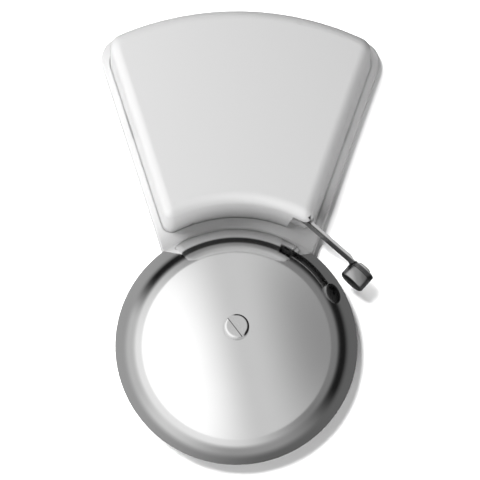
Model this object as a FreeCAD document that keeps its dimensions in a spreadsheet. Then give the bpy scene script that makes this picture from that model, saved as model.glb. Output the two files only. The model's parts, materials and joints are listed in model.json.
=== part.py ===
import FreeCAD, Part
import math
import os
import re
import Sketcher

# An electric wall bell: a fan-shaped moulded case holds a trembler coil, and a domed
# gong hangs below it. The wall is the plane Y = 0, the front looks along -Y and +Z is
# up. The origin is on the wall, behind the middle of the gong. Heights are measured
# out from the wall, so a height is -Y.

# Driving sizes, in millimetres and degrees.
SIZES = (
    # Clearances that many pieces share
    ("running_gap", 0.05),
    ("past", 1.0),
    # Gong and its fixing
    ("gong_diameter", 100.0),
    ("gong_rim_height", 12.0),
    ("gong_rise", 33.0),
    ("gong_wall", 1.3),
    ("gong_seat_diameter", 10.8),
    ("gong_hole_diameter", 6.6),
    ("gong_rim_round", 0.45),
    ("gong_screw_diameter", 6.0),
    ("gong_screw_head", 10.0),
    ("gong_screw_head_height", 3.4),
    ("gong_screw_head_round", 1.3),
    ("gong_screw_length", 12.0),
    ("gong_screw_slot_width", 1.7),
    ("gong_screw_slot_depth", 1.4),
    ("gong_screw_slot_turn", 52.0),
    ("pillar_diameter", 10.0),
    ("pillar_bore_spare", 3.0),
    ("stud_length", 5.0),
    ("insert_diameter", 9.0),
    ("insert_length", 6.0),
    ("washer_diameter", 10.2),
    ("washer_thickness", 1.0),
    # Base moulding
    ("side_angle", 18.6),
    ("base_side_distance", 17.0),
    ("fan_centre_height", 20.6),
    ("base_top_radius", 125.5),
    ("base_corner_radius", 10.0),
    ("tongue_end_radius", 11.9),
    ("base_depth", 8.0),
    ("floor_thickness", 2.5),
    ("rim_height", 6.3),
    ("rim_thickness", 1.8),
    ("rim_clearance", 0.4),
    ("groove_gap", 0.7),
    ("groove_depth", 1.0),
    ("groove_foot_gap", 0.3),
    ("base_edge_round", 0.8),
    ("rim_corner_radius", 4.4),
    ("rim_foot_corner", 1.4),
    ("well_corner_radius", 2.6),
    ("well_foot_corner", 1.0),
    ("tongue_core_low", 12.0),
    ("tongue_core_high", 44.0),
    ("tongue_rib", 3.0),
    ("tongue_skin", 2.6),
    # Cover moulding
    ("cover_side_inset", 3.5),
    ("cover_top_inset", 5.0),
    ("cover_foot_gap", 5.4),
    ("cover_corner_radius", 7.0),
    ("cover_foot_corner", 4.0),
    ("cover_front_height", 30.0),
    ("cover_wall", 2.2),
    ("cover_draft_angle", 2.5),
    ("cover_front_round", 4.5),
    ("cover_seat_clearance", 0.1),
    ("notch_height", 24.0),
    ("notch_rear_reach", 10.6),
    ("notch_front_reach", 8.1),
    ("notch_relief_reach", 9.3),
    ("notch_relief_rise", 0.25),
    ("notch_relief_over", 2.0),
    ("thin_wall_reach", 14.3),
    ("thin_wall", 1.4),
    ("notch_side_margin", 1.0),
    ("notch_rise", 3.0),
    ("notch_foot_rise", 8.8),
    ("notch_drop", 19.0),
    ("nick_place", 19.3),
    ("nick_width", 1.3),
    ("nick_depth", 1.6),
    ("pry_slot_middle", 95.0),
    ("pry_slot_length", 10.0),
    ("pry_slot_depth", 1.9),
    # Wall fixing and cable entry
    ("wall_screw_diameter", 4.5),
    ("wall_screw_down", 17.1),
    ("wall_screw_drop", 20.0),
    ("wall_screw_head", 9.0),
    ("wall_screw_sink", 2.4),
    ("entry_offset", 16.0),
    ("entry_down", 34.1),
    ("entry_diameter", 12.0),
    ("entry_recess", 1.2),
    ("grommet_flange", 16.0),
    ("grommet_flange_thickness", 1.4),
    ("grommet_bore", 8.0),
    ("grommet_recess_gap", 0.2),
    # Place of the mechanism, from the middle of the hammer's striking face
    ("hammer_bearing", 28.4),
    ("hammer_standoff", 5.8),
    ("arm_turn", 41.0),
    ("action_height", 18.0),
    # Hammer and arm
    ("hammer_diameter", 11.0),
    ("hammer_length", 6.4),
    ("hammer_dome", 0.4),
    ("hammer_bevel", 0.5),
    ("rivet_diameter", 3.0),
    ("rivet_head", 6.0),
    ("rivet_head_height", 1.1),
    ("rivet_depth", 4.0),
    ("arm_thickness", 1.6),
    ("arm_width", 6.5),
    ("arm_joggle", 0.7),
    ("joggle_start", 5.2),
    ("joggle_length", 2.2),
    ("arm_tail_overlap", 8.0),
    # Coil, yoke and armature
    ("coil_past_gong", 26.0),
    ("core_diameter", 8.0),
    ("pole_gap", 0.7),
    ("pole_proud", 1.6),
    ("bobbin_diameter", 17.0),
    ("bobbin_flange", 1.0),
    ("bobbin_tube", 10.0),
    ("bobbin_length", 14.0),
    ("winding_diameter", 15.4),
    ("yoke_thickness", 3.0),
    ("yoke_width", 12.0),
    ("yoke_foot_reach", 7.0),
    ("yoke_leg_reach", 9.2),
    ("yoke_tail_reach", 22.0),
    ("yoke_bend", 0.8),
    ("armature_thickness", 2.5),
    ("armature_gap", 0.8),
    ("armature_reach", 10.0),
    ("leaf_thickness", 0.3),
    ("leaf_width", 10.0),
    ("clamp_thickness", 1.2),
    ("clamp_margin", 1.0),
    ("clamp_screw_diameter", 2.5),
    ("clamp_screw_head", 4.5),
    ("clamp_screw_head_height", 1.6),
    ("clamp_screw_spacing", 6.4),
    ("arm_rivet_back", 4.5),
    ("arm_rivet_ahead", 7.0),
    ("arm_rivet_diameter", 2.0),
    ("arm_rivet_head", 4.0),
    ("arm_rivet_head_height", 0.8),
    ("core_screw_diameter", 4.0),
    ("core_screw_head", 7.0),
    ("core_screw_head_height", 2.4),
    ("core_screw_depth", 8.0),
    ("core_screw_spare", 1.0),
    # Make and break contact
    ("contact_reach", 16.0),
    ("contact_spring_margin", 3.5),
    ("contact_spring_tail", 6.5),
    ("contact_spring_width", 5.0),
    ("contact_tip_diameter", 3.0),
    ("contact_tip_height", 0.8),
    ("contact_gap", 0.06),
    ("contact_screw_diameter", 3.0),
    ("contact_screw_length", 12.5),
    ("contact_screw_head", 5.0),
    ("contact_screw_head_height", 2.0),
    ("lock_nut_width", 5.5),
    ("lock_nut_height", 2.0),
    ("bracket_gap", 5.6),
    ("bracket_foot_length", 12.5),
    ("bracket_thickness", 1.6),
    ("bracket_width", 10.0),
    ("bracket_rise", 14.0),
    ("bracket_screw_setback", 7.3),
    ("insulator_thickness", 2.0),
    ("insulator_margin", 1.0),
    ("insulator_collar", 4.6),
    # Chassis
    ("chassis_thickness", 1.5),
    ("chassis_margin", 1.8),
    ("chassis_side_margin", 0.5),
    ("chassis_side_rise", 11.5),
    ("boss_height", 4.0),
    ("boss_diameter", 7.0),
    ("boss_skin", 1.0),
    ("fixing_screw_diameter", 2.9),
    ("fixing_screw_head", 5.4),
    ("fixing_screw_head_height", 1.9),
    ("screw_tip_gap", 0.3),
    ("left_fixing_inset", 3.4),
    ("left_fixing_rise", 7.0),
    ("low_fixing_inset", 1.9),
    ("low_fixing_drop", 7.5),
    ("right_fixing_inset", 3.7),
    ("right_fixing_rise", 3.6),
    ("slot_width", 0.8),
    ("slot_depth", 0.8),
    # Terminals
    ("terminal_place", 19.0),
    ("terminal_rise", 27.4),
    ("terminal_length", 24.0),
    ("terminal_width", 10.0),
    ("terminal_height", 9.0),
    ("terminal_pad", 2.5),
    ("terminal_pitch", 13.0),
    ("clamp_block_length", 6.0),
    ("clamp_block_width", 7.0),
    ("clamp_block_height", 7.0),
    ("clamp_block_bore", 2.6),
    # Leads
    ("lead_diameter", 1.3),
    ("lead_bend", 4.0),
    ("lead_drop", 7.0),
    ("coil_lead_side", 4.0),
    ("coil_lead_turn", 14.0),
    ("contact_lead_side", 2.2),
    ("contact_lead_turn", 6.0),
    ("contact_lead_lap", 2.0),
)

# Places that follow from the driving sizes.
PLACES = (
    ("gong_radius", "gong_diameter / 2"),
    ("gong_sphere", "(gong_radius ^ 2 + gong_rise ^ 2) / (2 * gong_rise)"),
    ("gong_apex", "gong_rim_height + gong_rise"),
    ("gong_middle", "gong_apex - gong_sphere"),
    ("gong_seat", "gong_middle + sqrt(gong_sphere ^ 2 - (gong_seat_diameter / 2) ^ 2)"),
    ("gong_under_seat", "gong_seat - gong_wall"),
    ("pillar_top", "gong_under_seat - washer_thickness"),
    ("side_slope", "90 - side_angle"),
    ("fan_top", "fan_centre_height + base_top_radius"),
    ("wall_screw_high", "fan_top - wall_screw_down"),
    ("wall_screw_low", "-wall_screw_drop"),
    ("entry_left", "-entry_offset"),
    ("entry_up", "fan_top - entry_down"),
    ("cover_foot_radius", "gong_radius + cover_foot_gap"),
    ("groove_floor", "base_depth - groove_depth"),
    ("cover_rear", "groove_floor + cover_seat_clearance"),
    ("rim_top", "groove_floor + rim_height"),
    ("groove_inset", "cover_side_inset - groove_gap"),
    ("groove_top_inset", "cover_top_inset - groove_gap"),
    ("hollow_inset", "cover_side_inset + cover_wall"),
    ("hollow_top_inset", "cover_top_inset + cover_wall"),
    ("hollow_foot", "cover_foot_radius + cover_wall"),
    ("hollow_front", "cover_front_height - cover_wall"),
    ("rim_inset", "hollow_inset + rim_clearance"),
    ("rim_top_inset", "hollow_top_inset + rim_clearance"),
    ("rim_foot", "hollow_foot + rim_clearance"),
    ("well_inset", "rim_inset + rim_thickness"),
    ("well_top_inset", "rim_top_inset + rim_thickness"),
    ("well_foot", "rim_foot + rim_thickness"),
    ("boss_top", "floor_thickness + boss_height"),
    ("chassis_front", "boss_top + chassis_thickness"),
    ("screw_tip", "boss_skin + screw_tip_gap"),
    ("gong_reach", "sqrt(gong_sphere ^ 2 - (action_height - gong_middle) ^ 2)"),
    ("hammer_right", "(gong_reach + hammer_standoff) * cos(hammer_bearing)"),
    ("hammer_up", "(gong_reach + hammer_standoff) * sin(hammer_bearing)"),
    ("arm_rear", "action_height - arm_width / 2"),
    ("disc_near", "hammer_length"),
    ("disc_far", "hammer_length + arm_thickness"),
    ("arm_near", "disc_near + arm_joggle"),
    ("arm_far", "arm_near + arm_thickness"),
    ("leaf_near", "arm_near - leaf_thickness"),
    ("armature_near", "leaf_near - armature_thickness"),
    ("pole_face", "armature_near - pole_gap"),
    ("coil_head", "pole_face - pole_proud"),
    ("coil_foot", "coil_head - bobbin_length"),
    ("coil_place", "-(gong_radius + coil_past_gong)"),
    ("yoke_foot_end", "coil_place + yoke_foot_reach"),
    ("yoke_leg_inner", "coil_place - yoke_leg_reach"),
    ("yoke_tail_end", "coil_place - yoke_tail_reach"),
    ("armature_start", "yoke_leg_inner + armature_gap"),
    ("armature_end", "coil_place + armature_reach"),
    ("arm_tail", "coil_place - arm_tail_overlap"),
    ("joggle_inner", "-joggle_start"),
    ("joggle_outer", "-(joggle_start + joggle_length)"),
    ("arm_rivet_first", "coil_place - arm_rivet_back"),
    ("arm_rivet_second", "coil_place + arm_rivet_ahead"),
    ("yoke_under", "coil_foot - yoke_thickness"),
    ("yoke_leg_outer", "yoke_leg_inner - yoke_thickness"),
    ("yoke_front", "action_height + yoke_width / 2"),
    ("yoke_rear", "action_height - yoke_width / 2"),
    ("flange_under", "yoke_under - chassis_thickness"),
    ("clamp_place", "(yoke_tail_end + yoke_leg_outer) / 2"),
    ("clamp_far", "arm_near + clamp_thickness"),
    ("spring_far", "arm_far + leaf_thickness"),
    ("tip_far", "spring_far + contact_tip_height"),
    ("contact_place", "coil_place + contact_reach"),
    ("contact_spring_end", "contact_place + contact_spring_margin"),
    ("contact_spring_start", "coil_place - contact_spring_tail"),
    ("contact_screw_near", "tip_far + contact_gap"),
    ("bracket_low", "contact_screw_near + bracket_gap"),
    ("bracket_high", "bracket_low + bracket_foot_length"),
    ("bracket_screw_up", "bracket_low + bracket_screw_setback"),
    ("bracket_top", "hammer_up - contact_place * sin(arm_turn) + bracket_high * cos(arm_turn)"),
    ("bracket_far", "bracket_low + bracket_thickness"),
    ("nut_far", "bracket_far + lock_nut_height"),
    ("insulator_front", "chassis_front + insulator_thickness"),
    ("bracket_foot_front", "insulator_front + bracket_thickness"),
    ("bracket_front", "insulator_front + bracket_rise"),
    ("bracket_left", "contact_place - bracket_width / 2"),
    ("bracket_right", "contact_place + bracket_width / 2"),
    ("chassis_left", "yoke_leg_inner - chassis_margin"),
    ("chassis_step", "yoke_foot_end"),
    ("chassis_shelf", "coil_head"),
    ("chassis_right", "bracket_right + insulator_margin + chassis_side_margin"),
    ("chassis_top", "bracket_high + insulator_margin"),
    ("chassis_top_corner", "bracket_left - insulator_margin - chassis_side_margin"),
    ("chassis_left_top", "chassis_shelf + chassis_side_rise"),
    ("fixing_screw_left", "chassis_left + left_fixing_inset"),
    ("fixing_screw_left_up", "chassis_shelf + left_fixing_rise"),
    ("fixing_screw_low", "chassis_step - low_fixing_inset"),
    ("fixing_screw_low_up", "chassis_shelf - low_fixing_drop"),
    ("fixing_screw_right", "chassis_right - right_fixing_inset"),
    ("fixing_screw_right_up", "chassis_shelf + right_fixing_rise"),
    ("lean", "arm_turn - side_angle"),
    ("arm_middle", "arm_near + arm_thickness / 2"),
    ("hammer_outside", "hammer_right * cos(side_angle) - hammer_up * sin(side_angle)"),
    ("wall_outside", "base_side_distance - cover_side_inset"),
    ("exit_along", "(wall_outside - hammer_outside - arm_middle * sin(lean)) / cos(lean)"),
    ("exit_right", "hammer_right + exit_along * cos(arm_turn) + arm_middle * sin(arm_turn)"),
    ("exit_up", "hammer_up - exit_along * sin(arm_turn) + arm_middle * cos(arm_turn)"),
    ("notch_left_rear", "exit_right - notch_rear_reach"),
    ("notch_left_front", "exit_right - notch_front_reach"),
    ("notch_relief_left", "exit_right - notch_relief_reach"),
    ("thin_wall_left", "exit_right - thin_wall_reach"),
    ("foot_draft", "(cover_front_height - cover_rear) * tan(cover_draft_angle)"),
    ("thin_wall_radius", "cover_foot_radius + foot_draft + thin_wall"),
    ("notch_foot_right", "exit_right - notch_side_margin"),
    ("notch_top", "exit_up + notch_rise"),
    ("notch_foot_top", "exit_up + notch_foot_rise"),
    ("notch_bottom", "exit_up - notch_drop"),
    ("terminal_up", "bracket_top + terminal_rise"),
    ("terminal_rear", "floor_thickness + terminal_pad"),
    ("terminal_front", "terminal_rear + terminal_height"),
    ("clamp_rear", "terminal_rear + (terminal_height - clamp_block_height) / 2"),
    ("clamp_front", "clamp_rear + clamp_block_height"),
)

# How far apart two places may be and still count as one, in millimetres.
SAME_PLACE = 1e-3

KNOWN = {name: "Sizes" for name, _ in SIZES} | {name: "Places" for name, _ in PLACES}

doc = FreeCAD.newDocument("WallBell")


def qualified(text):
    """An expression with each known name led by the sheet that holds it."""
    def lead(match):
        word = match.group(0)
        return f"{KNOWN[word]}.{word}" if word in KNOWN else word
    return re.sub(r"[a-z][a-z_]*", lead, text)


def fill_sheet(name, rows, prefix=""):
    """Write one row per name: the name beside its value or formula."""
    sheet = doc.addObject("Spreadsheet::Sheet", name)
    for row, (alias, value) in enumerate(rows, start=1):
        sheet.set(f"A{row}", alias)
        sheet.set(f"B{row}", prefix + qualified(str(value)))
        sheet.setAlias(f"B{row}", alias)
    doc.recompute()
    return sheet


sizes = fill_sheet("Sizes", SIZES)
places = fill_sheet("Places", PLACES, prefix="=")


def amount(text):
    """The present value of an expression."""
    return float(sizes.evalExpression(qualified(text)))


def bind(item, rules):
    """Tie properties of an object to expressions."""
    for name, text in rules.items():
        item.setExpression(name, qualified(text))
    return item


# Primitives, booleans and frames

def block(name, across, height, up):
    """A box between two places along X, two heights from the wall and two along Z."""
    return bind(doc.addObject("Part::Box", name), {
        "Length": f"({across[1]}) - ({across[0]})",
        "Width": f"({height[1]}) - ({height[0]})",
        "Height": f"({up[1]}) - ({up[0]})",
        "Placement.Base.x": across[0],
        "Placement.Base.y": f"-({height[1]})",
        "Placement.Base.z": up[0],
    })


def post(name, across, up, heights, diameter):
    """A cylinder that stands out from the wall between two heights."""
    item = doc.addObject("Part::Cylinder", name)
    item.Placement = FreeCAD.Placement(FreeCAD.Vector(), FreeCAD.Rotation(FreeCAD.Vector(1, 0, 0), 90))
    return bind(item, {
        "Radius": f"({diameter}) / 2",
        "Height": f"({heights[1]}) - ({heights[0]})",
        "Placement.Base.x": across,
        "Placement.Base.y": f"-({heights[0]})",
        "Placement.Base.z": up,
    })


def rod(name, across, height, ups, diameter):
    """A cylinder along Z between two places."""
    return bind(doc.addObject("Part::Cylinder", name), {
        "Radius": f"({diameter}) / 2",
        "Height": f"({ups[1]}) - ({ups[0]})",
        "Placement.Base.x": across,
        "Placement.Base.y": f"-({height})",
        "Placement.Base.z": ups[0],
    })


def join(name, items):
    """One solid made of several that touch."""
    item = doc.addObject("Part::MultiFuse", name)
    item.Shapes = items
    item.Refine = True
    return item


def group(name, items):
    """Separate solids kept as one sub-part."""
    item = doc.addObject("Part::Compound", name)
    item.Links = items
    return item


def cut(name, base, tools):
    """A solid less its tools."""
    item = doc.addObject("Part::Cut", name)
    item.Base = base
    item.Tool = tools[0] if len(tools) == 1 else group(f"{name}_tools", tools)
    item.Refine = True
    return item


def in_action(item):
    """Place an object in the slanted frame of the mechanism.

    There X runs along the striker arm towards the hammer and Z points away from the
    gong, from the middle of the hammer's striking face.
    """
    turn = FreeCAD.Rotation(FreeCAD.Vector(0, 1, 0), amount("arm_turn"))
    item.Placement = FreeCAD.Placement(FreeCAD.Vector(), turn)
    return bind(item, {
        "Placement.Base.x": "hammer_right",
        "Placement.Base.z": "hammer_up",
        "Placement.Rotation.Angle": "arm_turn",
    })


# Sketches

def plane_of(body, role):
    """One of a body's own origin planes."""
    return next(item for item in body.Origin.OriginFeatures if item.Role == role)


def new_sketch(body, name, role, offset):
    """A sketch laid on an origin plane and lifted along its normal."""
    sketch = body.newObject("Sketcher::SketchObject", name)
    sketch.AttachmentSupport = [(plane_of(body, role), "")]
    sketch.MapMode = "FlatFace"
    return bind(sketch, {"AttachmentOffset.Base.z": offset})


def rule(sketch, text, kind, *parts):
    """Add a constraint whose value is an expression."""
    value = math.radians(amount(text)) if kind == "Angle" else amount(text)
    number = sketch.addConstraint(Sketcher.Constraint(kind, *parts, value))
    bind(sketch, {f"Constraints[{number}]": text})


def polygon(body, name, role, offset, points, arcs=None):
    """A closed outline through points given as expressions.

    The stretch after point number i is straight, or, where arcs holds i, an arc whose
    centre lies on the sketch's upright axis at the given place. Its sign of turn comes
    from the points themselves.
    """
    arcs = arcs or {}
    sketch = new_sketch(body, name, role, offset)
    spots = [FreeCAD.Vector(amount(x), amount(y), 0) for x, y in points]
    ends = []
    for index, (start, end) in enumerate(zip(spots, spots[1:] + spots[:1])):
        if index in arcs:
            centre = FreeCAD.Vector(0, amount(arcs[index]), 0)
            turn = 1 if (start - centre).cross(end - centre).z > 0 else -1
            sketch.addGeometry(arc_through(centre, start, end, turn), False)
            ends.append((1, 2) if turn > 0 else (2, 1))
        else:
            sketch.addGeometry(Part.LineSegment(start, end), False)
            ends.append((1, 2))
    for index, (x, y) in enumerate(points):
        before = (index - 1) % len(points)
        start = ends[index][0]
        sketch.addConstraint(Sketcher.Constraint("Coincident", before, ends[before][1], index, start))
        rule(sketch, x, "DistanceX", -1, 1, index, start)
        rule(sketch, y, "DistanceY", -1, 1, index, start)
        if index in arcs:
            sketch.addConstraint(Sketcher.Constraint("PointOnObject", index, 3, -2))
    return sketch


def arc_through(centre, start, end, turn):
    """The arc about a centre from start to end, anticlockwise when turn is 1."""
    if turn < 0:
        start, end = end, start
    first = math.atan2(start.y - centre.y, start.x - centre.x)
    last = math.atan2(end.y - centre.y, end.x - centre.x)
    circle = Part.Circle(centre, FreeCAD.Vector(0, 0, 1), (start - centre).Length)
    return Part.ArcOfCircle(circle, first, last)


class FanOutline:
    """The points of the fan: two slanted sides, an arched top and an arc or tongue below.

    The sides lie at side_angle to the upright and pass the gong's axis at a set
    distance. The top arc is about fan_centre_height, and every corner is a tangent arc.
    """

    def __init__(self, side, top, corner, foot, foot_corner=None):
        self.side, self.top, self.corner = side, top, corner
        self.foot, self.foot_corner = foot, foot_corner
        lean = math.radians(amount("side_angle"))
        self.along = FreeCAD.Vector(math.sin(lean), math.cos(lean), 0)
        self.outward = FreeCAD.Vector(math.cos(lean), -math.sin(lean), 0)
        self.arch = FreeCAD.Vector(0, amount("fan_centre_height"), 0)
        self.gong = FreeCAD.Vector(0, 0, 0)

    def on_side(self, inset, centre, radius):
        """Where a line set in from the side is at a radius from a centre, above it."""
        near = self.outward * (amount(self.side) - inset)
        reach = (centre - near).dot(self.along)
        gap = (centre - near).dot(self.outward)
        return near + self.along * (reach + math.sqrt(radius ** 2 - gap ** 2))

    def right_half(self):
        """Centres and tangent points of the right side, from the foot up."""
        corner, top = amount(self.corner), amount(self.top)
        upper = self.on_side(corner, self.arch, top - corner)
        side_end = upper + self.outward * corner
        top_end = self.arch + (upper - self.arch) * (top / (top - corner))
        foot = amount(self.foot)
        if self.foot_corner is None:
            near = self.outward * (amount(self.side) - foot)
            lower = near - self.along * (near.x / self.along.x)
            return lower, lower + self.outward * foot, None, side_end, upper, top_end
        bend = amount(self.foot_corner)
        lower = self.on_side(bend, self.gong, foot + bend)
        return lower, lower + self.outward * bend, lower * (foot / (foot + bend)), side_end, upper, top_end

    def draw(self, body, name, offset):
        """Sketch the outline on the front plane with tangent constraints."""
        sketch = new_sketch(body, name, "XZ_Plane", offset)
        lower, side_start, foot_end, side_end, upper, top_end = self.right_half()
        def mirrored(spot):
            return FreeCAD.Vector(-spot.x, spot.y, 0)
        pieces = [
            Part.LineSegment(side_start, side_end),
            arc_through(upper, side_end, top_end, 1),
            arc_through(self.arch, top_end, mirrored(top_end), 1),
            arc_through(mirrored(upper), mirrored(top_end), mirrored(side_end), 1),
            Part.LineSegment(mirrored(side_end), mirrored(side_start)),
        ]
        if foot_end is None:
            pieces.append(arc_through(lower, mirrored(side_start), side_start, 1))
        else:
            pieces.append(arc_through(mirrored(lower), mirrored(side_start), mirrored(foot_end), 1))
            pieces.append(arc_through(self.gong, mirrored(foot_end), foot_end, -1))
            pieces.append(arc_through(lower, foot_end, side_start, 1))
        sketch.addGeometry(pieces, False)
        self.constrain(sketch)
        return sketch

    def constrain(self, sketch):
        """Make neighbours tangent and tie the sides and radii to the sheet."""
        tangent = [(0, 2, 1, 1), (1, 2, 2, 1), (2, 2, 3, 1), (3, 2, 4, 1), (4, 2, 5, 1)]
        if self.foot_corner is None:
            tangent.append((5, 2, 0, 1))
        else:
            tangent += [(5, 2, 6, 2), (6, 1, 7, 1), (7, 2, 0, 1)]
        for ends in tangent:
            sketch.addConstraint(Sketcher.Constraint("Tangent", *ends))
        for line, angle in ((0, "side_slope"), (4, "-side_slope")):
            rule(sketch, angle, "Angle", line)
            rule(sketch, self.side, "Distance", -1, 1, line)
        rule(sketch, self.top, "Radius", 2)
        sketch.addConstraint(Sketcher.Constraint("PointOnObject", 2, 3, -2))
        rule(sketch, "fan_centre_height", "DistanceY", -1, 1, 2, 3)
        rule(sketch, self.corner, "Radius", 1)
        rule(sketch, self.corner, "Radius", 3)
        if self.foot_corner is not None:
            rule(sketch, self.foot_corner, "Radius", 5)
            rule(sketch, self.foot_corner, "Radius", 7)
            rule(sketch, self.foot, "Radius", 6)
            sketch.addConstraint(Sketcher.Constraint("Coincident", 6, 3, -1, 1))


def fan(side_inset, top_inset, corner, foot, foot_corner):
    """The fan outline set in from the edge of the base plate."""
    side = f"base_side_distance - ({side_inset})"
    top = f"base_top_radius - ({top_inset})"
    return FanOutline(side, top, corner, foot, foot_corner)


# Features of a body

def new_body(name):
    return doc.addObject("PartDesign::Body", name)


def feature(body, kind, sketch, **settings):
    """A feature made from a sketch, with its plain settings."""
    item = body.newObject(f"PartDesign::{kind}", f"{sketch.Name}_{kind.lower()}")
    item.Profile = sketch
    for name, value in settings.items():
        setattr(item, name, value)
    return item


def pad(body, sketch, length, taper=None):
    """Raise a sketch along its normal, drawn in by a taper where one is given."""
    item = bind(feature(body, "Pad", sketch), {"Length": length})
    if taper:
        bind(item, {"TaperAngle": f"-{taper}"})
    doc.recompute()
    return item


def pocket(body, sketch, length, along_normal=False, taper=None):
    """Cut a sketch out of the body, against its normal or along it."""
    before = body.Shape.Volume
    item = bind(feature(body, "Pocket", sketch, Reversed=along_normal), {"Length": length})
    if taper:
        bind(item, {"TaperAngle": f"-{taper}"})
    doc.recompute()
    if item.Shape.Volume >= before:
        raise ValueError(f"{item.Name} cuts nothing")
    return item


def revolve(body, sketch):
    """Turn a sketch once round its own upright axis."""
    item = feature(body, "Revolution", sketch, Angle=360)
    item.ReferenceAxis = (sketch, ["V_Axis"])
    doc.recompute()
    return item


def round_edges(body, base, names, radius):
    """Fillet the named edges of a feature."""
    item = body.newObject("PartDesign::Fillet", f"{base.Name}_round")
    item.Base = (base, names)
    bind(item, {"Radius": radius})
    doc.recompute()
    return item


def edges_at_height(shape, height):
    """Names of the edges that lie in one plane parallel to the wall."""
    place = -amount(height)
    return [
        f"Edge{number}" for number, edge in enumerate(shape.Edges, start=1)
        if max(abs(edge.BoundBox.YMin - place), abs(edge.BoundBox.YMax - place)) < SAME_PLACE
    ]


def edges_through(shape, spots):
    """Names of the edges that stand off the wall through given places."""
    found = []
    for number, edge in enumerate(shape.Edges, start=1):
        box = edge.BoundBox
        upright = max(box.XLength, box.ZLength) < SAME_PLACE
        if upright and any(math.hypot(box.XMin - x, box.ZMin - z) < SAME_PLACE for x, z in spots):
            found.append(f"Edge{number}")
    return found


# Fasteners

def screw(name, length, diameter, head, head_height, slot=True):
    """A round-headed screw or rivet on the Z axis, its head's seat at the origin."""
    shank = rod(f"{name}_shank", "0", "0", (f"-({length})", "0"), diameter)
    cap = rod(f"{name}_head", "0", "0", ("0", head_height), head)
    whole = join(f"{name}_blank", [shank, cap])
    if not slot:
        return whole
    cutter = block(f"{name}_slot", (f"-({head})", head), ("-slot_width / 2", "slot_width / 2"),
                   (f"({head_height}) - slot_depth", f"({head_height}) + slot_depth"))
    return cut(name, whole, [cutter])


def stand(item, across, height, up, turn=90):
    """Place a fastener: turn 90 faces the front, 0 faces up and 180 faces down."""
    item.Placement = FreeCAD.Placement(FreeCAD.Vector(), FreeCAD.Rotation(FreeCAD.Vector(1, 0, 0), turn))
    return bind(item, {
        "Placement.Base.x": across,
        "Placement.Base.y": f"-({height})",
        "Placement.Base.z": up,
    })


# Base moulding and what is moulded or screwed into it

FIXINGS = (
    ("fixing_screw_left", "fixing_screw_left_up"),
    ("fixing_screw_low", "fixing_screw_low_up"),
    ("fixing_screw_right", "fixing_screw_right_up"),
)


def base_shell():
    """Plate with its tongue, the cover's groove and locating rim, and the wiring well."""
    body = new_body("base_shell")
    outline = FanOutline("base_side_distance", "base_top_radius", "base_corner_radius", "tongue_end_radius")
    plate = pad(body, outline.draw(body, "plate_outline", "0"), "base_depth")
    round_edges(body, plate, edges_at_height(plate.Shape, "base_depth"), "base_edge_round")
    groove = fan("groove_inset", "groove_top_inset", "cover_corner_radius + groove_gap",
                 "cover_foot_radius - groove_foot_gap", "cover_foot_corner + groove_foot_gap")
    pocket(body, groove.draw(body, "groove_outline", "base_depth"), "groove_depth")
    rim = fan("rim_inset", "rim_top_inset", "rim_corner_radius", "rim_foot", "rim_foot_corner")
    pad(body, rim.draw(body, "rim_outline", "groove_floor"), "rim_height")
    well = fan("well_inset", "well_top_inset", "well_corner_radius", "well_foot", "well_foot_corner")
    pocket(body, well.draw(body, "well_outline", "rim_top"), "rim_top - floor_thickness")
    half = "(base_side_distance - tongue_rib) / cos(side_angle) + {} * tan(side_angle)"
    low, high = half.format("tongue_core_low"), half.format("tongue_core_high")
    core = polygon(body, "tongue_core", "XZ_Plane", "0", [
        (f"-({low})", "tongue_core_low"),
        (low, "tongue_core_low"),
        (high, "tongue_core_high"),
        (f"-({high})", "tongue_core_high"),
    ])
    pocket(body, core, "base_depth - tongue_skin", along_normal=True)
    return body


def base_plate():
    """The base shell with screw bosses, the terminal's pad and every hole."""
    bosses = [post(f"boss_{i}", x, z, ("floor_thickness / 2", "boss_top"), "boss_diameter")
              for i, (x, z) in enumerate(FIXINGS)]
    bosses.append(post("bracket_boss", "contact_place", "bracket_screw_up",
                       ("floor_thickness / 2", "boss_top"), "boss_diameter"))
    terminal_pad = block(
        "terminal_pad_block",
        ("terminal_place - terminal_length / 2", "terminal_place + terminal_length / 2"),
        ("floor_thickness / 2", "terminal_rear"),
        ("terminal_up - terminal_width / 2", "terminal_up + terminal_width / 2"))
    solid = join("base_blank", [base_shell(), in_action(group("bosses", bosses)), terminal_pad])
    drilled = "fixing_screw_diameter + 2 * running_gap"
    pilots = [post(f"pilot_{i}", x, z, ("boss_skin", "boss_top + past"), drilled)
              for i, (x, z) in enumerate(FIXINGS)]
    pilots.append(post("bracket_pilot", "contact_place", "bracket_screw_up", ("boss_skin", "boss_top + past"),
                       drilled))
    holes = [
        in_action(group("pilots", pilots)),
        post("terminal_pilot", "terminal_place", "terminal_up", ("boss_skin", "terminal_rear + past"),
             drilled),
        post("insert_hole", "0", "0", ("base_depth - insert_length", "base_depth + past"),
             "insert_diameter + 2 * running_gap"),
        post("wall_hole_high", "0", "wall_screw_high", ("-past", "base_depth"), "wall_screw_diameter"),
        post("wall_hole_low", "0", "wall_screw_low", ("-past", "base_depth + past"), "wall_screw_diameter"),
        post("wall_sink_low", "0", "wall_screw_low", ("base_depth - wall_screw_sink", "base_depth + past"),
             "wall_screw_head"),
        post("entry_hole", "entry_left", "entry_up", ("-past", "base_depth"), "entry_diameter"),
        post("entry_recess_hole", "entry_left", "entry_up", ("-past", "entry_recess"),
             "grommet_flange + 2 * grommet_recess_gap"),
    ]
    return cut("base_plate", solid, holes)


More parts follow.
